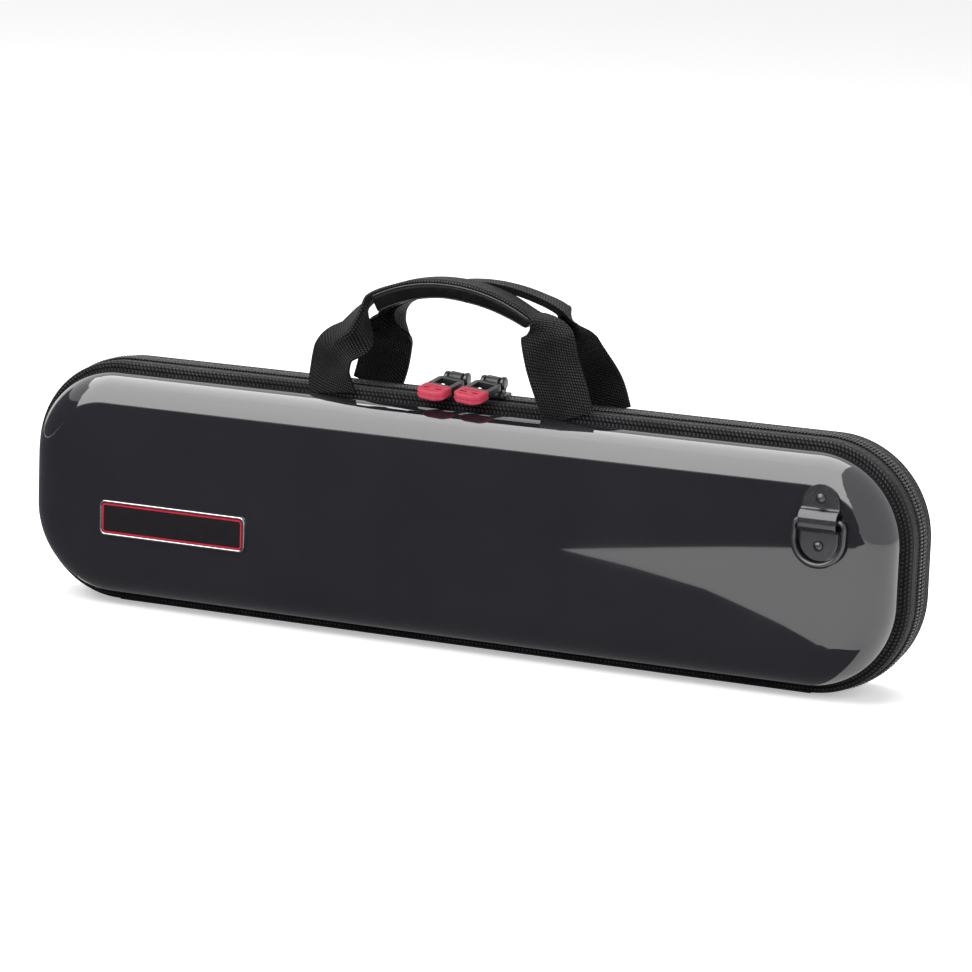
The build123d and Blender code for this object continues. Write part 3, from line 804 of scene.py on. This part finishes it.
def both_sides(back, name, slot, *nodes, material=None):
    """Mirror a piece made for the back half to the lid, and finish both."""
    back.name = back.data.name = "back_" + name
    front = other_half(back, "front_" + name)
    for side, piece in ((BACK, back), (FRONT, front)):
        named = [HALF_NAME[side] + "_" + node for node in nodes]
        finish_piece(piece, slot, BODY_OF[side], *named, material=material)


COIL_PITCH = 1.6 * MM
COIL_ENDS = 1.2 * MM
STITCH_ENDS = 2.0 * MM


def coil_tooth():
    """One turn of the coil: a rounded head by the middle and a leg back over the tape."""
    tooth = add(mesh.primitive_uv_sphere_add, "coil_teeth", segments=8, ring_count=6,
                radius=0.5 * MM, rotation=(pi / 2, 0, 0), location=(0, 0, 0))
    place(tooth)
    select_where(tooth, "vertices", lambda point: point.co.y > 0.1 * MM)
    bpy.ops.transform.translate(value=(0.25 * MM, 2.0 * MM, 0))
    leave()
    select_where(tooth, "vertices", lambda point: point.co.y < 0.1 * MM)
    bpy.ops.transform.resize(value=(1.25, 1, 1.1), center_override=(0, 0, 0))
    leave()
    return smooth(place(tooth, location=(ZIP_START + COIL_ENDS, 1.12 * MM, 0.56 * MM)), 60)


def stitch(length, thick, place_at, lean=0.0):
    """One stitch: a thread that rises from the cloth and dips back."""
    thread = add(mesh.primitive_uv_sphere_add, "stitch", segments=6, ring_count=6,
                 radius=0.5, rotation=(0, pi / 2, 0))
    place(thread)
    place(thread, scale=(length, thick, thick), rotation_euler=(0, 0, radians(lean)),
          location=place_at)
    return smooth(thread, 80)


def row_round_rim(piece, pitch, end):
    """Copy a small piece along X up to an end, and bend the row round the rim."""
    start = min(point.co.x for point in piece.data.vertices)
    return bend_round_rim(repeat(piece, pitch, int((end - start) / pitch)))


def make_rim():
    whole, zipped = (0, RIM_LENGTH), (ZIP_START, ZIP_END)
    for name, section, run, material, slot, *nodes in (
        ("woven_band", band_section(), whole, None, "woven_band", "rim_band"),
        ("edge_binding", binding_section(), whole, BINDING_WEAVE, "woven_band"),
        ("tape_strip", tape_section(), zipped, None, "zip_tape", "zip_tape"),
    ):
        strip = close_tube(straight_strip(name, section, *run), cap_ends=run is zipped)
        both_sides(smooth(bend_round_rim(strip), 50), name, slot, *nodes, material=material)
    first, last = ZIP_START + STITCH_ENDS, ZIP_END - STITCH_ENDS
    tape_row = stitch(2.3 * MM, 0.5 * MM, (first, 8.1 * MM, 1.0 * MM))
    both_sides(row_round_rim(tape_row, 2.9 * MM, last), "tape_stitches", "zip_tape",
               material=THREAD)
    coil = row_round_rim(coil_tooth(), COIL_PITCH, ZIP_END - COIL_ENDS)
    both_sides(coil, "coil_teeth", "zip_coil", "zip_coil")
    coil_row = stitch(1.25 * MM, 0.42 * MM, (first, 3.05 * MM, 0.12 * MM), 18)
    both_sides(row_round_rim(coil_row, COIL_PITCH, last), "coil_stitches", "zip_tape",
               material=THREAD)


# ---- webbing handles

PIVOT_Z = HEIGHT - 3.2 * MM
ARC_Y = 6.6
ARCS = {    # crest x and z, left and right radius, reach to the left and right of the crest
    FRONT: (-10.0, 164.2, 76.0, 84.0, -37.0, 42.0),
    BACK: (2.0, 163.0, 74.0, 92.0, -37.0, 38.0),
}
WEBBING = 24.0 * MM
WEBBING_T = 1.4 * MM
WEBBING_ROWS, WEBBING_COLUMNS = 210, 40
FOLD_TURN = 2.4 * MM
FOLD_SHIFT = 1.3 * MM
FOOT_Z = PIVOT_Z / MM - 0.6
# Stations of each leg from its sewn foot up: x, distance from the middle, z, the degrees
# that its inner edge turns away from the middle, and how far it is folded.
LEGS = {
    "front_left": (
        (-62.4, 14.5, FOOT_Z, 4, 0), (-63.6, 14.3, 119.0, 19, 0), (-61.8, 13.2, 129.0, 26, 0.12),
        (-56.2, 11.0, 138.0, 40, 0.5), (-51.2, 8.8, 146.0, 60, 0.92)),
    "front_right": (
        (53.8, 14.5, FOOT_Z, 0, 0), (49.6, 14.3, 120.0, 8, 0), (44.4, 13.2, 132.0, 10, 0),
        (41.0, 11.6, 142.5, 20, 0.1), (38.0, 9.2, 149.0, 44, 0.5)),
    "back_left": (
        (-54.2, 14.5, FOOT_Z, 0, 0), (-50.9, 14.3, 120.0, 6, 0), (-48.6, 12.9, 131.0, 10, 0.05),
        (-46.6, 11.0, 139.4, 32, 0.4), (-42.8, 8.8, 146.0, 60, 0.85)),
    "back_right": (
        (59.2, 14.5, FOOT_Z, 0, 0), (56.0, 14.3, 120.5, 8, 0), (51.6, 12.9, 131.5, 22, 0),
        (46.2, 10.8, 141.0, 34, 0.15), (42.4, 8.8, 147.2, 54, 0.62)),
}


def glide(stops, values, at):
    """A smooth value between stations set at uneven distances."""
    i = max(0, min(len(stops) - 2, sum(stop <= at for stop in stops) - 1))
    gap = stops[i + 1] - stops[i]
    share = (at - stops[i]) / gap

    def slope(k):
        low, high = max(k - 1, 0), min(k + 1, len(stops) - 1)
        return (values[high] - values[low]) / (stops[high] - stops[low])

    a, b = share * share * (3 - 2 * share), share * (1 - share)
    ends = values[i] * (1 - a) + values[i + 1] * a
    return ends + (slope(i) * (1 - share) - slope(i + 1) * share) * (b * gap)


def leg_stations(leg, side, climb):
    """A leg's stations as (point, direction of its inner edge, fold)."""
    stations = []
    for x, y, z, twist, fold in LEGS[leg]:
        turn = radians(twist)
        inner_edge = Vector((climb * cos(turn), side * sin(turn), 0))
        stations.append((Vector((x, side * y, z)) * MM, inner_edge, fold))
    return stations


def arc_stations(side, steps=6, below=1.5):
    """Stations of the folded webbing along a handle's arc, some way below the arc's top."""
    crest_x, top, left, right, first, last = ARCS[side]
    stations = []
    for step in range(steps + 1):
        along = first + (last - first) * step / steps
        radius = left if along < 0 else right
        height = top - radius + sqrt((radius - below) ** 2 - along**2)
        point = Vector((crest_x + along, side * ARC_Y, height)) * MM
        stations.append((point, Vector((0, side, 0)), 1.0))
    return stations


def fold_section(fold):
    """The webbing's width bent over on itself: (towards the inner edge, out of the face)."""
    step = WEBBING / WEBBING_COLUMNS
    at = Vector((0, 0))
    points = [at.copy()]
    for i in range(WEBBING_COLUMNS):
        middle = -WEBBING / 2 + (i + 0.5) * step
        angle = fold * pi * clamped(middle / FOLD_TURN + 0.5)
        at += Vector((cos(angle), -sin(angle))) * step
        points.append(at.copy())
    low = min(point.x for point in points)
    high = max(point.x for point in points)
    deep = min(point.y for point in points)
    shift = Vector(((low + high) / 2, max(deep / 2, -FOLD_SHIFT)))
    return [point - shift for point in points]


def webbing_row(stops, points, edges, folds, at):
    """One row across the webbing, at a distance along it."""
    here = glide(stops, points, at)
    ahead = glide(stops, points, min(at + MM, stops[-1]))
    behind = glide(stops, points, max(at - MM, 0))
    run = (ahead - behind).normalized()
    edge = glide(stops, edges, at)
    return here, run, (edge - run * edge.dot(run)).normalized(), glide(stops, folds, at)


def webbing_loop(name, side, left, right):
    """One handle's webbing: flat at both feet, twisted up the legs and folded at the grip."""
    stations = leg_stations(left, side, 1) + arc_stations(side)
    stations += list(reversed(leg_stations(right, side, -1)))
    points, edges, folds = zip(*stations)
    stops = [0.0]
    for a, b in zip(points, points[1:]):
        stops.append(stops[-1] + (b - a).length)
    total = stops[-1]
    loop = add(mesh.primitive_grid_add, name, x_subdivisions=WEBBING_ROWS,
               y_subdivisions=WEBBING_COLUMNS, size=1)
    map_flat(loop, total, WEBBING)
    rows = {}
    for vertex in loop.data.vertices:
        row = round((vertex.co.x + 0.5) * WEBBING_ROWS)
        column = round((vertex.co.y + 0.5) * WEBBING_COLUMNS)
        if row not in rows:
            at = total * row / WEBBING_ROWS
            here, run, edge, fold = webbing_row(stops, points, edges, folds, at)
            rows[row] = (here, edge, run.cross(edge) * side, fold_section(clamped(fold)))
        here, edge, face, section = rows[row]
        vertex.co = here + edge * section[column].x + face * section[column].y
    modify(loop, "SOLIDIFY", thickness=WEBBING_T, offset=0)
    return smooth(outward(loop, FINE_MERGE), 60), total


def make_straps():
    for side in (FRONT, BACK):
        half = HALF_NAME[side]
        loop, length = webbing_loop(half + "_webbing_loop", side, half + "_left", half + "_right")
        finish_piece(loop, "webbing", half + "_handle", half + "_handle_strap")


def arc_curve(side, below, half_angle=0.62):
    """A guide along a handle's arc, from left to right, and the distance along it to the crest."""
    crest_x, top, left, right = ARCS[side][:4]
    reach = 4 / 3 * tan(half_angle / 4) * MM
    stops = []
    for angle in (-half_angle, 0, half_angle):
        radius = left if angle < 0 else right
        centre = Vector((crest_x, side * ARC_Y, top - radius)) * MM
        out = Vector((sin(angle), 0, cos(angle)))
        run = Vector((cos(angle), 0, -sin(angle)))
        before = reach * ((right if angle > 0 else left) - below)
        after = reach * ((left if angle < 0 else right) - below)
        stops.append((centre + out * (radius - below) * MM, run, before, after))
    return guide_curve("grip_guide", stops), half_angle * (left - below)


GRIP_LEFT, GRIP_RIGHT = -36.0, 45.0    # along the arc, from its crest
GRIP_HALF_W = 6.9
# Creases across the grip: share of its length, spread and strength.
CREASES = ((0.6, 0.045, 1.0), (0.7, 0.03, 0.6))


def grip_sag(along):
    """How much thicker the grip is at a share of its length than at its thin end, in metres."""
    taper = 3.0 * max(0.0, along - 0.6) + 2.0 * max(0.0, along - 0.85)
    return (3.6 * max(0.0, 0.45 - along) + 0.35 * sin(pi * along) - taper) * MM


def grip_share(x, crest):
    return (x / MM - crest - GRIP_LEFT) / (GRIP_RIGHT - GRIP_LEFT)


def even_cuts(low, high, steps):
    return [low + (high - low) * step / steps for step in range(1, steps)]


def grip_pad(name, guide, crest):
    """Padded vinyl sleeve under the webbing: lipped at both sides, creased where it bends most."""
    low = ((crest + GRIP_LEFT) * MM, -GRIP_HALF_W * MM, -4.9 * MM)
    high = ((crest + GRIP_RIGHT) * MM, GRIP_HALF_W * MM, -0.1 * MM)
    pad = block(name, low, high)
    bevel_edges(pad, lambda a, b: True, 1.3 * MM, 4)
    slice_across(pad, 0, even_cuts(low[0], high[0], 90))
    for point in pad.data.vertices:
        along = grip_share(point.co.x, crest)
        under = clamped((-0.3 * MM - point.co.z) / (3.6 * MM))
        lip = clamped((abs(point.co.y) - 5.4 * MM) / (0.9 * MM))
        point.co.z += 1.3 * MM * lip * (1 - under) - grip_sag(along) * under
        crease = sum(strength * exp(-((along - at) / spread) ** 2)
                     for at, spread, strength in CREASES)
        wave, share = along * 170, point.co.y / (6.3 * MM)
        point.co.z += 0.2 * MM * crease * sin(wave + point.co.y / MM * 0.55) * under
        point.co.y += 0.22 * MM * crease * sin(wave + point.co.z / MM) * share
    modify(pad, "CURVE", object=guide, deform_axis="POS_X")
    return smooth(outward(pad), 60)


def binding_cord(name, guide, crest, y, z, thick, sag):
    """Rolled edge of the vinyl along one side of the grip."""
    cord = add(mesh.primitive_cylinder_add, name, vertices=10, radius=thick / 2, depth=1,
               rotation=(0, pi / 2, 0))
    place(cord)
    place(cord, scale=((GRIP_RIGHT - GRIP_LEFT - 3) * MM, 1, 1),
          location=((crest + (GRIP_LEFT + GRIP_RIGHT) / 2) * MM, y, z))
    slice_across(cord, 0, even_cuts((crest + GRIP_LEFT) * MM, (crest + GRIP_RIGHT) * MM, 80))
    for point in cord.data.vertices:
        point.co.z -= sag * grip_sag(grip_share(point.co.x, crest))
    modify(cord, "CURVE", object=guide, deform_axis="POS_X")
    return smooth(outward(cord), 50)


def make_grip():
    guide, crest = arc_curve(FRONT, 3.0)
    pad = grip_pad("front_grip_pad", guide, crest)
    finish_piece(pad, "grip_vinyl", "front_handle", "front_handle_grip")
    for side, word in ((FRONT, "outer"), (BACK, "inner")):
        for y, z, sag, level in ((6.7, 0.95, 0, "upper"), (6.35, -4.45, 1, "lower")):
            name = "front_grip_edge_" + word + "_" + level
            cord = binding_cord(name, guide, crest, side * y * MM, z * MM, 0.8 * MM, sag)
            # The rolled edges take the lighter vinyl, a painted highlight along them.
            finish_piece(cord, "grip_vinyl", "front_handle", material=HIGHLIT_EDGE_VINYL)
    bpy.data.objects.remove(guide)


# ---- hinge strip under the case

HINGE_HALF = 10.4 * MM
HINGE_T = 0.55 * MM
HINGE_Z = 0.4 * MM


def make_hinge():
    """One flat strip of woven fabric along the middle, with a row of stitches along each band."""
    length, width = 2 * END_X, 2 * HINGE_HALF
    strip = add(mesh.primitive_grid_add, "hinge_strip", x_subdivisions=160,
                y_subdivisions=36, size=1)
    map_flat(strip, length, width, middle=0)
    place(strip, scale=(length, width, 1), location=(0, 0, HINGE_Z))
    modify(strip, "SOLIDIFY", thickness=HINGE_T, offset=0)
    smooth(outward(strip, FINE_MERGE), 50)
    dress(strip, "hinge_fabric")
    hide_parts("back_hinge_leaf", "front_hinge_leaf")
    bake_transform(strip)
    pitch, margin = 3.4 * MM, 4.0 * MM
    row = stitch(2.6 * MM, 0.5 * MM, (margin - END_X, 9.2 * MM, 0.24 * MM))
    repeat(row, pitch, int((length - 2 * margin) / pitch))
    both_sides(row, "hinge_stitches", "hinge_fabric", material=THREAD)


# ---- badge

BADGE = Vector((-132.8, 0, 42.4)) * MM
BADGE_FIELD_SIZE = (72.4 * MM, 13.7 * MM)
BADGE_LINE = 0.75 * MM
BADGE_CORNER = 1.7 * MM
BADGE_PAINT = 0.05 * MM
BADGE_RISE = 0.88 * MM


def make_badge():
    """Red line round the bare field, a rounded frame as thick as a coat of paint."""
    line = add(mesh.primitive_plane_add, "badge_red_line", size=1)
    place(line, scale=(*BADGE_FIELD_SIZE, 1))
    select_where(line, "vertices", lambda point: True)
    mesh.bevel(offset=BADGE_CORNER, segments=8, affect="VERTICES")
    mesh.select_all(action="SELECT")
    mesh.select_mode(type="FACE")
    mesh.inset(thickness=BADGE_LINE, use_even_offset=True)
    mesh.delete(type="FACE")
    leave()
    modify(line, "SOLIDIFY", thickness=BADGE_PAINT, offset=1)
    slope_x, slope_z = BADGE.x / CROWN_R_X, (BADGE.z - MID_Z) / CROWN_R_Z
    out = Vector((slope_x, -1, slope_z)).normalized()
    level = Vector((1, slope_x, 0)).normalized()
    face_y = crown_drop(BADGE.x, BADGE.z) - FACE_DEPTH
    seat = Vector((BADGE.x, face_y, BADGE.z)) + out * BADGE_RISE
    turn = Matrix((level, out.cross(level), out)).transposed()
    place(line, matrix_world=Matrix.Translation(seat) @ turn.to_4x4())
    outward(line, FINE_MERGE)
    finish_piece(line, "badge_field", "lid", material=BADGE_RED)


# ---- plush bed and lid pad

BED_INSET = 6.95 * MM
BED_DEEP = 29.7 * MM
BED_ROLL = 13.2 * MM
BED_FACE = 1.0 * MM
CHANNEL_FLOOR = 23.7 * MM
HOLLOW_ROUND = 5.0 * MM
# Hollows of the bed: low X, high X, middle Z and width, in millimetres.
HOLLOWS = (
    (-184.0, 188.0, 77.2, 27.0),
    (-148.0, 152.0, 82.2, 37.0),
    (-190.0, 46.0, 33.6, 27.0),
    (-44.0, 12.0, 33.6, 37.0),
    (54.0, 148.0, 33.6, 37.0),
    (156.0, 190.0, 33.6, 37.0),
)


def foam_form(name):
    """Rounded block of foam that fills the back half."""
    low = (-HALF_LENGTH + BED_INSET, BED_FACE, BED_INSET)
    high = (HALF_LENGTH - BED_INSET, BED_DEEP, HEIGHT - BED_INSET)
    return rolled_block(name, low, high, CORNER_R - BED_INSET, 16, BED_ROLL, 8, BED_DEEP)


def cut_hollow(form, low_x, high_x, middle_z, width):
    low = (low_x * MM, -4 * MM, (middle_z - width / 2) * MM)
    high = (high_x * MM, CHANNEL_FLOOR, (middle_z + width / 2) * MM)
    cutter = block("hollow", low, high)
    bevel_edges(cutter, lambda a, b: True, HOLLOW_ROUND, 5)
    carve(form, cutter)


def from_outline(x, z):
    """Distance of a point inside the rim's outline."""
    over_x, over_z = abs(x) - END_X, abs(z - MID_Z) - (MID_Z - CORNER_R)
    if over_x > 0 and over_z > 0:
        return CORNER_R - hypot(over_x, over_z)
    return min(HALF_LENGTH - abs(x), MID_Z - abs(z - MID_Z))


def soften(piece, voxel, rounds):
    """Remesh a form into an even skin and relax its edges, as plush does over foam."""
    piece.data.remesh_voxel_size = voxel
    pick(piece)
    bpy.ops.object.voxel_remesh()
    modify(piece, "SMOOTH", factor=0.5, iterations=rounds)
    return smooth(outward(piece, FINE_MERGE), 80)


def make_bed():
    bed = foam_form("flute_bed")
    for hollow in HOLLOWS:
        cut_hollow(bed, *hollow)
    soften(bed, 1.7 * MM, 4)
    finish_piece(bed, "plush", "back_half", "foam_bed", "bed_lining")


def make_lid_pad():
    """Plush pad in the lid: a soft crown inside a sewn channel that follows the rim."""
    pad = foam_form("pad")
    soften(pad, 2.2 * MM, 6)
    for point in pad.data.vertices:
        inside = from_outline(point.co.x, point.co.z)
        if point.co.y < 4 * MM:
            channel = exp(-((inside - 16 * MM) / (1.6 * MM)) ** 2)
            crown = clamped((inside - 19 * MM) / (12 * MM))
            point.co.y += 1.3 * MM * channel - 0.35 * MM * crown
    lid_pad = other_half(pad, "lid_plush_pad")
    bpy.data.objects.remove(pad)
    finish_piece(lid_pad, "plush", "lid", "lid_pad", "lid_lining")


# ---- zip pulls

BAR_Z = HEIGHT + 6.2 * MM
SLIDER_X = {"left": -7.2 * MM, "right": 10.8 * MM}
PULL_TURN = [radians(a) for a in (11.5, 4.0, -8.0)]    # lying forward, a little askew
FRAME_HALF_W, FRAME_HALF_T = 6.8 * MM, 1.4 * MM
TIP_HALF_W, TIP_HALF_T = 7.0 * MM, 2.0 * MM
TIP_MIDDLE = -19.7 * MM


def barrel(name, x, width, radius, edge):
    """A short barrel along X with rounded rims."""
    piece = add(mesh.primitive_cylinder_add, name, vertices=40, radius=radius,
                depth=width, location=(x, 0, 0), rotation=(0, pi / 2, 0))
    place(piece)
    bevel_edges(piece, lambda a, b: abs(a.x - b.x) < 0.1 * MM, edge, 3)
    return piece


def upright(a, b):
    return abs(a.z - b.z) > (a - b).length * 0.9


def pull_window(name):
    """Moulded frame with a window through it and an eye round the slider's bar."""
    frame = block(name, (-FRAME_HALF_W, -15.0 * MM, -FRAME_HALF_T),
                  (FRAME_HALF_W, -3.3 * MM, FRAME_HALF_T))
    bevel_edges(frame, lambda a, b: upright(a, b) and a.y > -8 * MM, 2.2 * MM, 4)
    select_where(frame, "polygons", lambda face: abs(face.normal.z) > 0.9)
    mesh.inset(thickness=2.5 * MM, depth=0)
    mesh.delete(type="FACE")
    select_open_edges()
    mesh.bridge_edge_loops()
    leave()
    soft_edges(frame, 0.45 * MM, 3, 40)
    neck = block("neck", (-2.4 * MM, -4.2 * MM, -FRAME_HALF_T), (2.4 * MM, -1.6 * MM, FRAME_HALF_T))
    eye = barrel("eye", 0, 6.8 * MM, 2.9 * MM, 0.5 * MM)
    return smooth(outward(join([frame, neck, eye], name)))


def rubber_tip(name):
    """Soft tip with cut-off corners, a groove round its sides and two slots on top."""
    tip = block(name, (-TIP_HALF_W, -24.8 * MM, -TIP_HALF_T), (TIP_HALF_W, -14.6 * MM, TIP_HALF_T))
    bevel_edges(tip, lambda a, b: upright(a, b) and a.y < -20 * MM, 3.0 * MM, 1)
    soft_edges(tip, 0.75 * MM, 4, 25)
    slice_across(tip, 2, [level * MM for level in (-0.65, -0.35, 0.05, 0.35)])
    for point in tip.data.vertices:
        if -0.4 * MM < point.co.z < 0.1 * MM:
            point.co.x *= 0.955
            point.co.y = TIP_MIDDLE + (point.co.y - TIP_MIDDLE) * 0.94
    slots = [((x - 1.6, -20.6, 1.2), (x + 1.6, -19.4, 4)) for x in (-3.1, 3.1)]
    grooves = [((-4.2, y - 0.35, 1.8), (4.2, y + 0.35, 4)) for y in (-17.6, -22.4)]
    for low, high in slots + grooves:
        carve(tip, block("slot", Vector(low) * MM, Vector(high) * MM))
    return smooth(outward(tip), 35)


def lay_pull(piece, word):
    return place(piece, rotation_euler=PULL_TURN, location=(SLIDER_X[word], 0, BAR_Z))


def make_pulls():
    for word in ("left", "right"):
        frame = lay_pull(pull_window(word + "_pull_window"), word)
        finish_piece(frame, "pull_plastic", word + "_pull", word + "_pull_frame")
        tip = lay_pull(rubber_tip(word + "_rubber_tip"), word)
        finish_piece(tip, "red_rubber", word + "_pull", word + "_pull_tip")
        for sign, end in ((-1, "left"), (1, "right")):
            name = word + "_slider_ear_" + end
            ear = barrel(name, sign * 4.75 * MM, 2.1 * MM, 3.0 * MM, 0.7 * MM)
            smooth(outward(place(ear, location=(SLIDER_X[word], 0, BAR_Z))))
            finish_piece(ear, "black_metal", word + "_slider")


# ---- ring clips

CLIP_X = 178.8 * MM
CLIP_LOW_Z = 63.2
CLIP_PROFILE = (    # distance out from the shell and height above the clip's lower end
    (0.0, 0.0), (0.0, 12.6), (0.5, 13.1), (2.2, 13.2), (3.5, 13.7), (4.1, 14.9), (4.2, 16.6),
    (4.0, 18.6), (3.3, 20.2), (2.0, 21.3), (0.8, 21.9), (0.0, 22.7), (0.0, 33.0),
)
CLIP_SEAT = 31.14 * MM
CLIP_LEAN = radians(0.95)
CLIP_HALF_W = 8.6
CLIP_T = 0.95 * MM
CLIP_STANDOFF = 0.5
CLIP_END_HALF_W = 1.2
RIVETS_UP = (6.4, 27.0)
RIVET_R = 2.3 * MM


def clip_point(share):
    """A point along the clip's profile, by its share of the length."""
    runs = [(a, b, dist(a, b)) for a, b in zip(CLIP_PROFILE, CLIP_PROFILE[1:])]
    at = share * sum(length for _, _, length in runs)
    for a, b, length in runs:
        if at <= length:
            return Vector(a).lerp(Vector(b), at / length)
        at -= length
    return Vector(CLIP_PROFILE[-1])


def seat_on_shell(piece, side):
    """Stand a fitting drawn facing -Y from its lower end on its shell."""
    place(piece, rotation_euler=(-CLIP_LEAN, 0, 0), location=(CLIP_X, -CLIP_SEAT, CLIP_LOW_Z * MM))
    return place(piece, rotation_euler=(0, 0, pi)) if side == BACK else piece


def bent_clip(name):
    """Strip with round ends and a half-round loop over the ring's bar."""
    clip = add(mesh.primitive_grid_add, name, x_subdivisions=16, y_subdivisions=150,
               size=1)
    tall = CLIP_PROFILE[-1][1]
    for point in clip.data.vertices:
        across, share = point.co.x * 2, point.co.y + 0.5
        out, up = clip_point(share)
        inward = CLIP_HALF_W - min(up, tall - up, CLIP_HALF_W)
        half = max(CLIP_END_HALF_W, sqrt(CLIP_HALF_W**2 - inward**2))
        point.co = Vector((across * half, -out - CLIP_STANDOFF, up)) * MM
    modify(clip, "SOLIDIFY", thickness=CLIP_T, offset=0)
    return smooth(outward(soft_edges(clip, 0.22 * MM, 2, 50)), 35)


def domed_rivet(up):
    """Round-headed rivet standing on the clip."""
    head = add(mesh.primitive_uv_sphere_add, "head", segments=32, ring_count=20,
               radius=RIVET_R)
    for point in head.data.vertices:
        point.co.y *= 0.72 if point.co.y < 0 else 0.2
    return smooth(outward(place(head, location=(0, -CLIP_T, up * MM))), 60)


def make_clips():
    for side in (FRONT, BACK):
        half = HALF_NAME[side]
        clip = seat_on_shell(bent_clip(half + "_bent_clip"), side)
        finish_piece(clip, "black_metal", BODY_OF[side], half + "_ring_clip")
        heads = join([domed_rivet(up) for up in RIVETS_UP], half + "_rivet_heads")
        heads = seat_on_shell(heads, side)
        finish_piece(heads, "black_metal", BODY_OF[side], half + "_clip_rivets")


dress_nodes()
make_camera()
make_world()
make_floor()
make_cards()
make_lights()
make_shells()
make_rim()
make_straps()
make_grip()
make_hinge()
make_badge()
make_bed()
make_lid_pad()
make_pulls()
make_clips()
bpy.data.objects.remove(RIM)
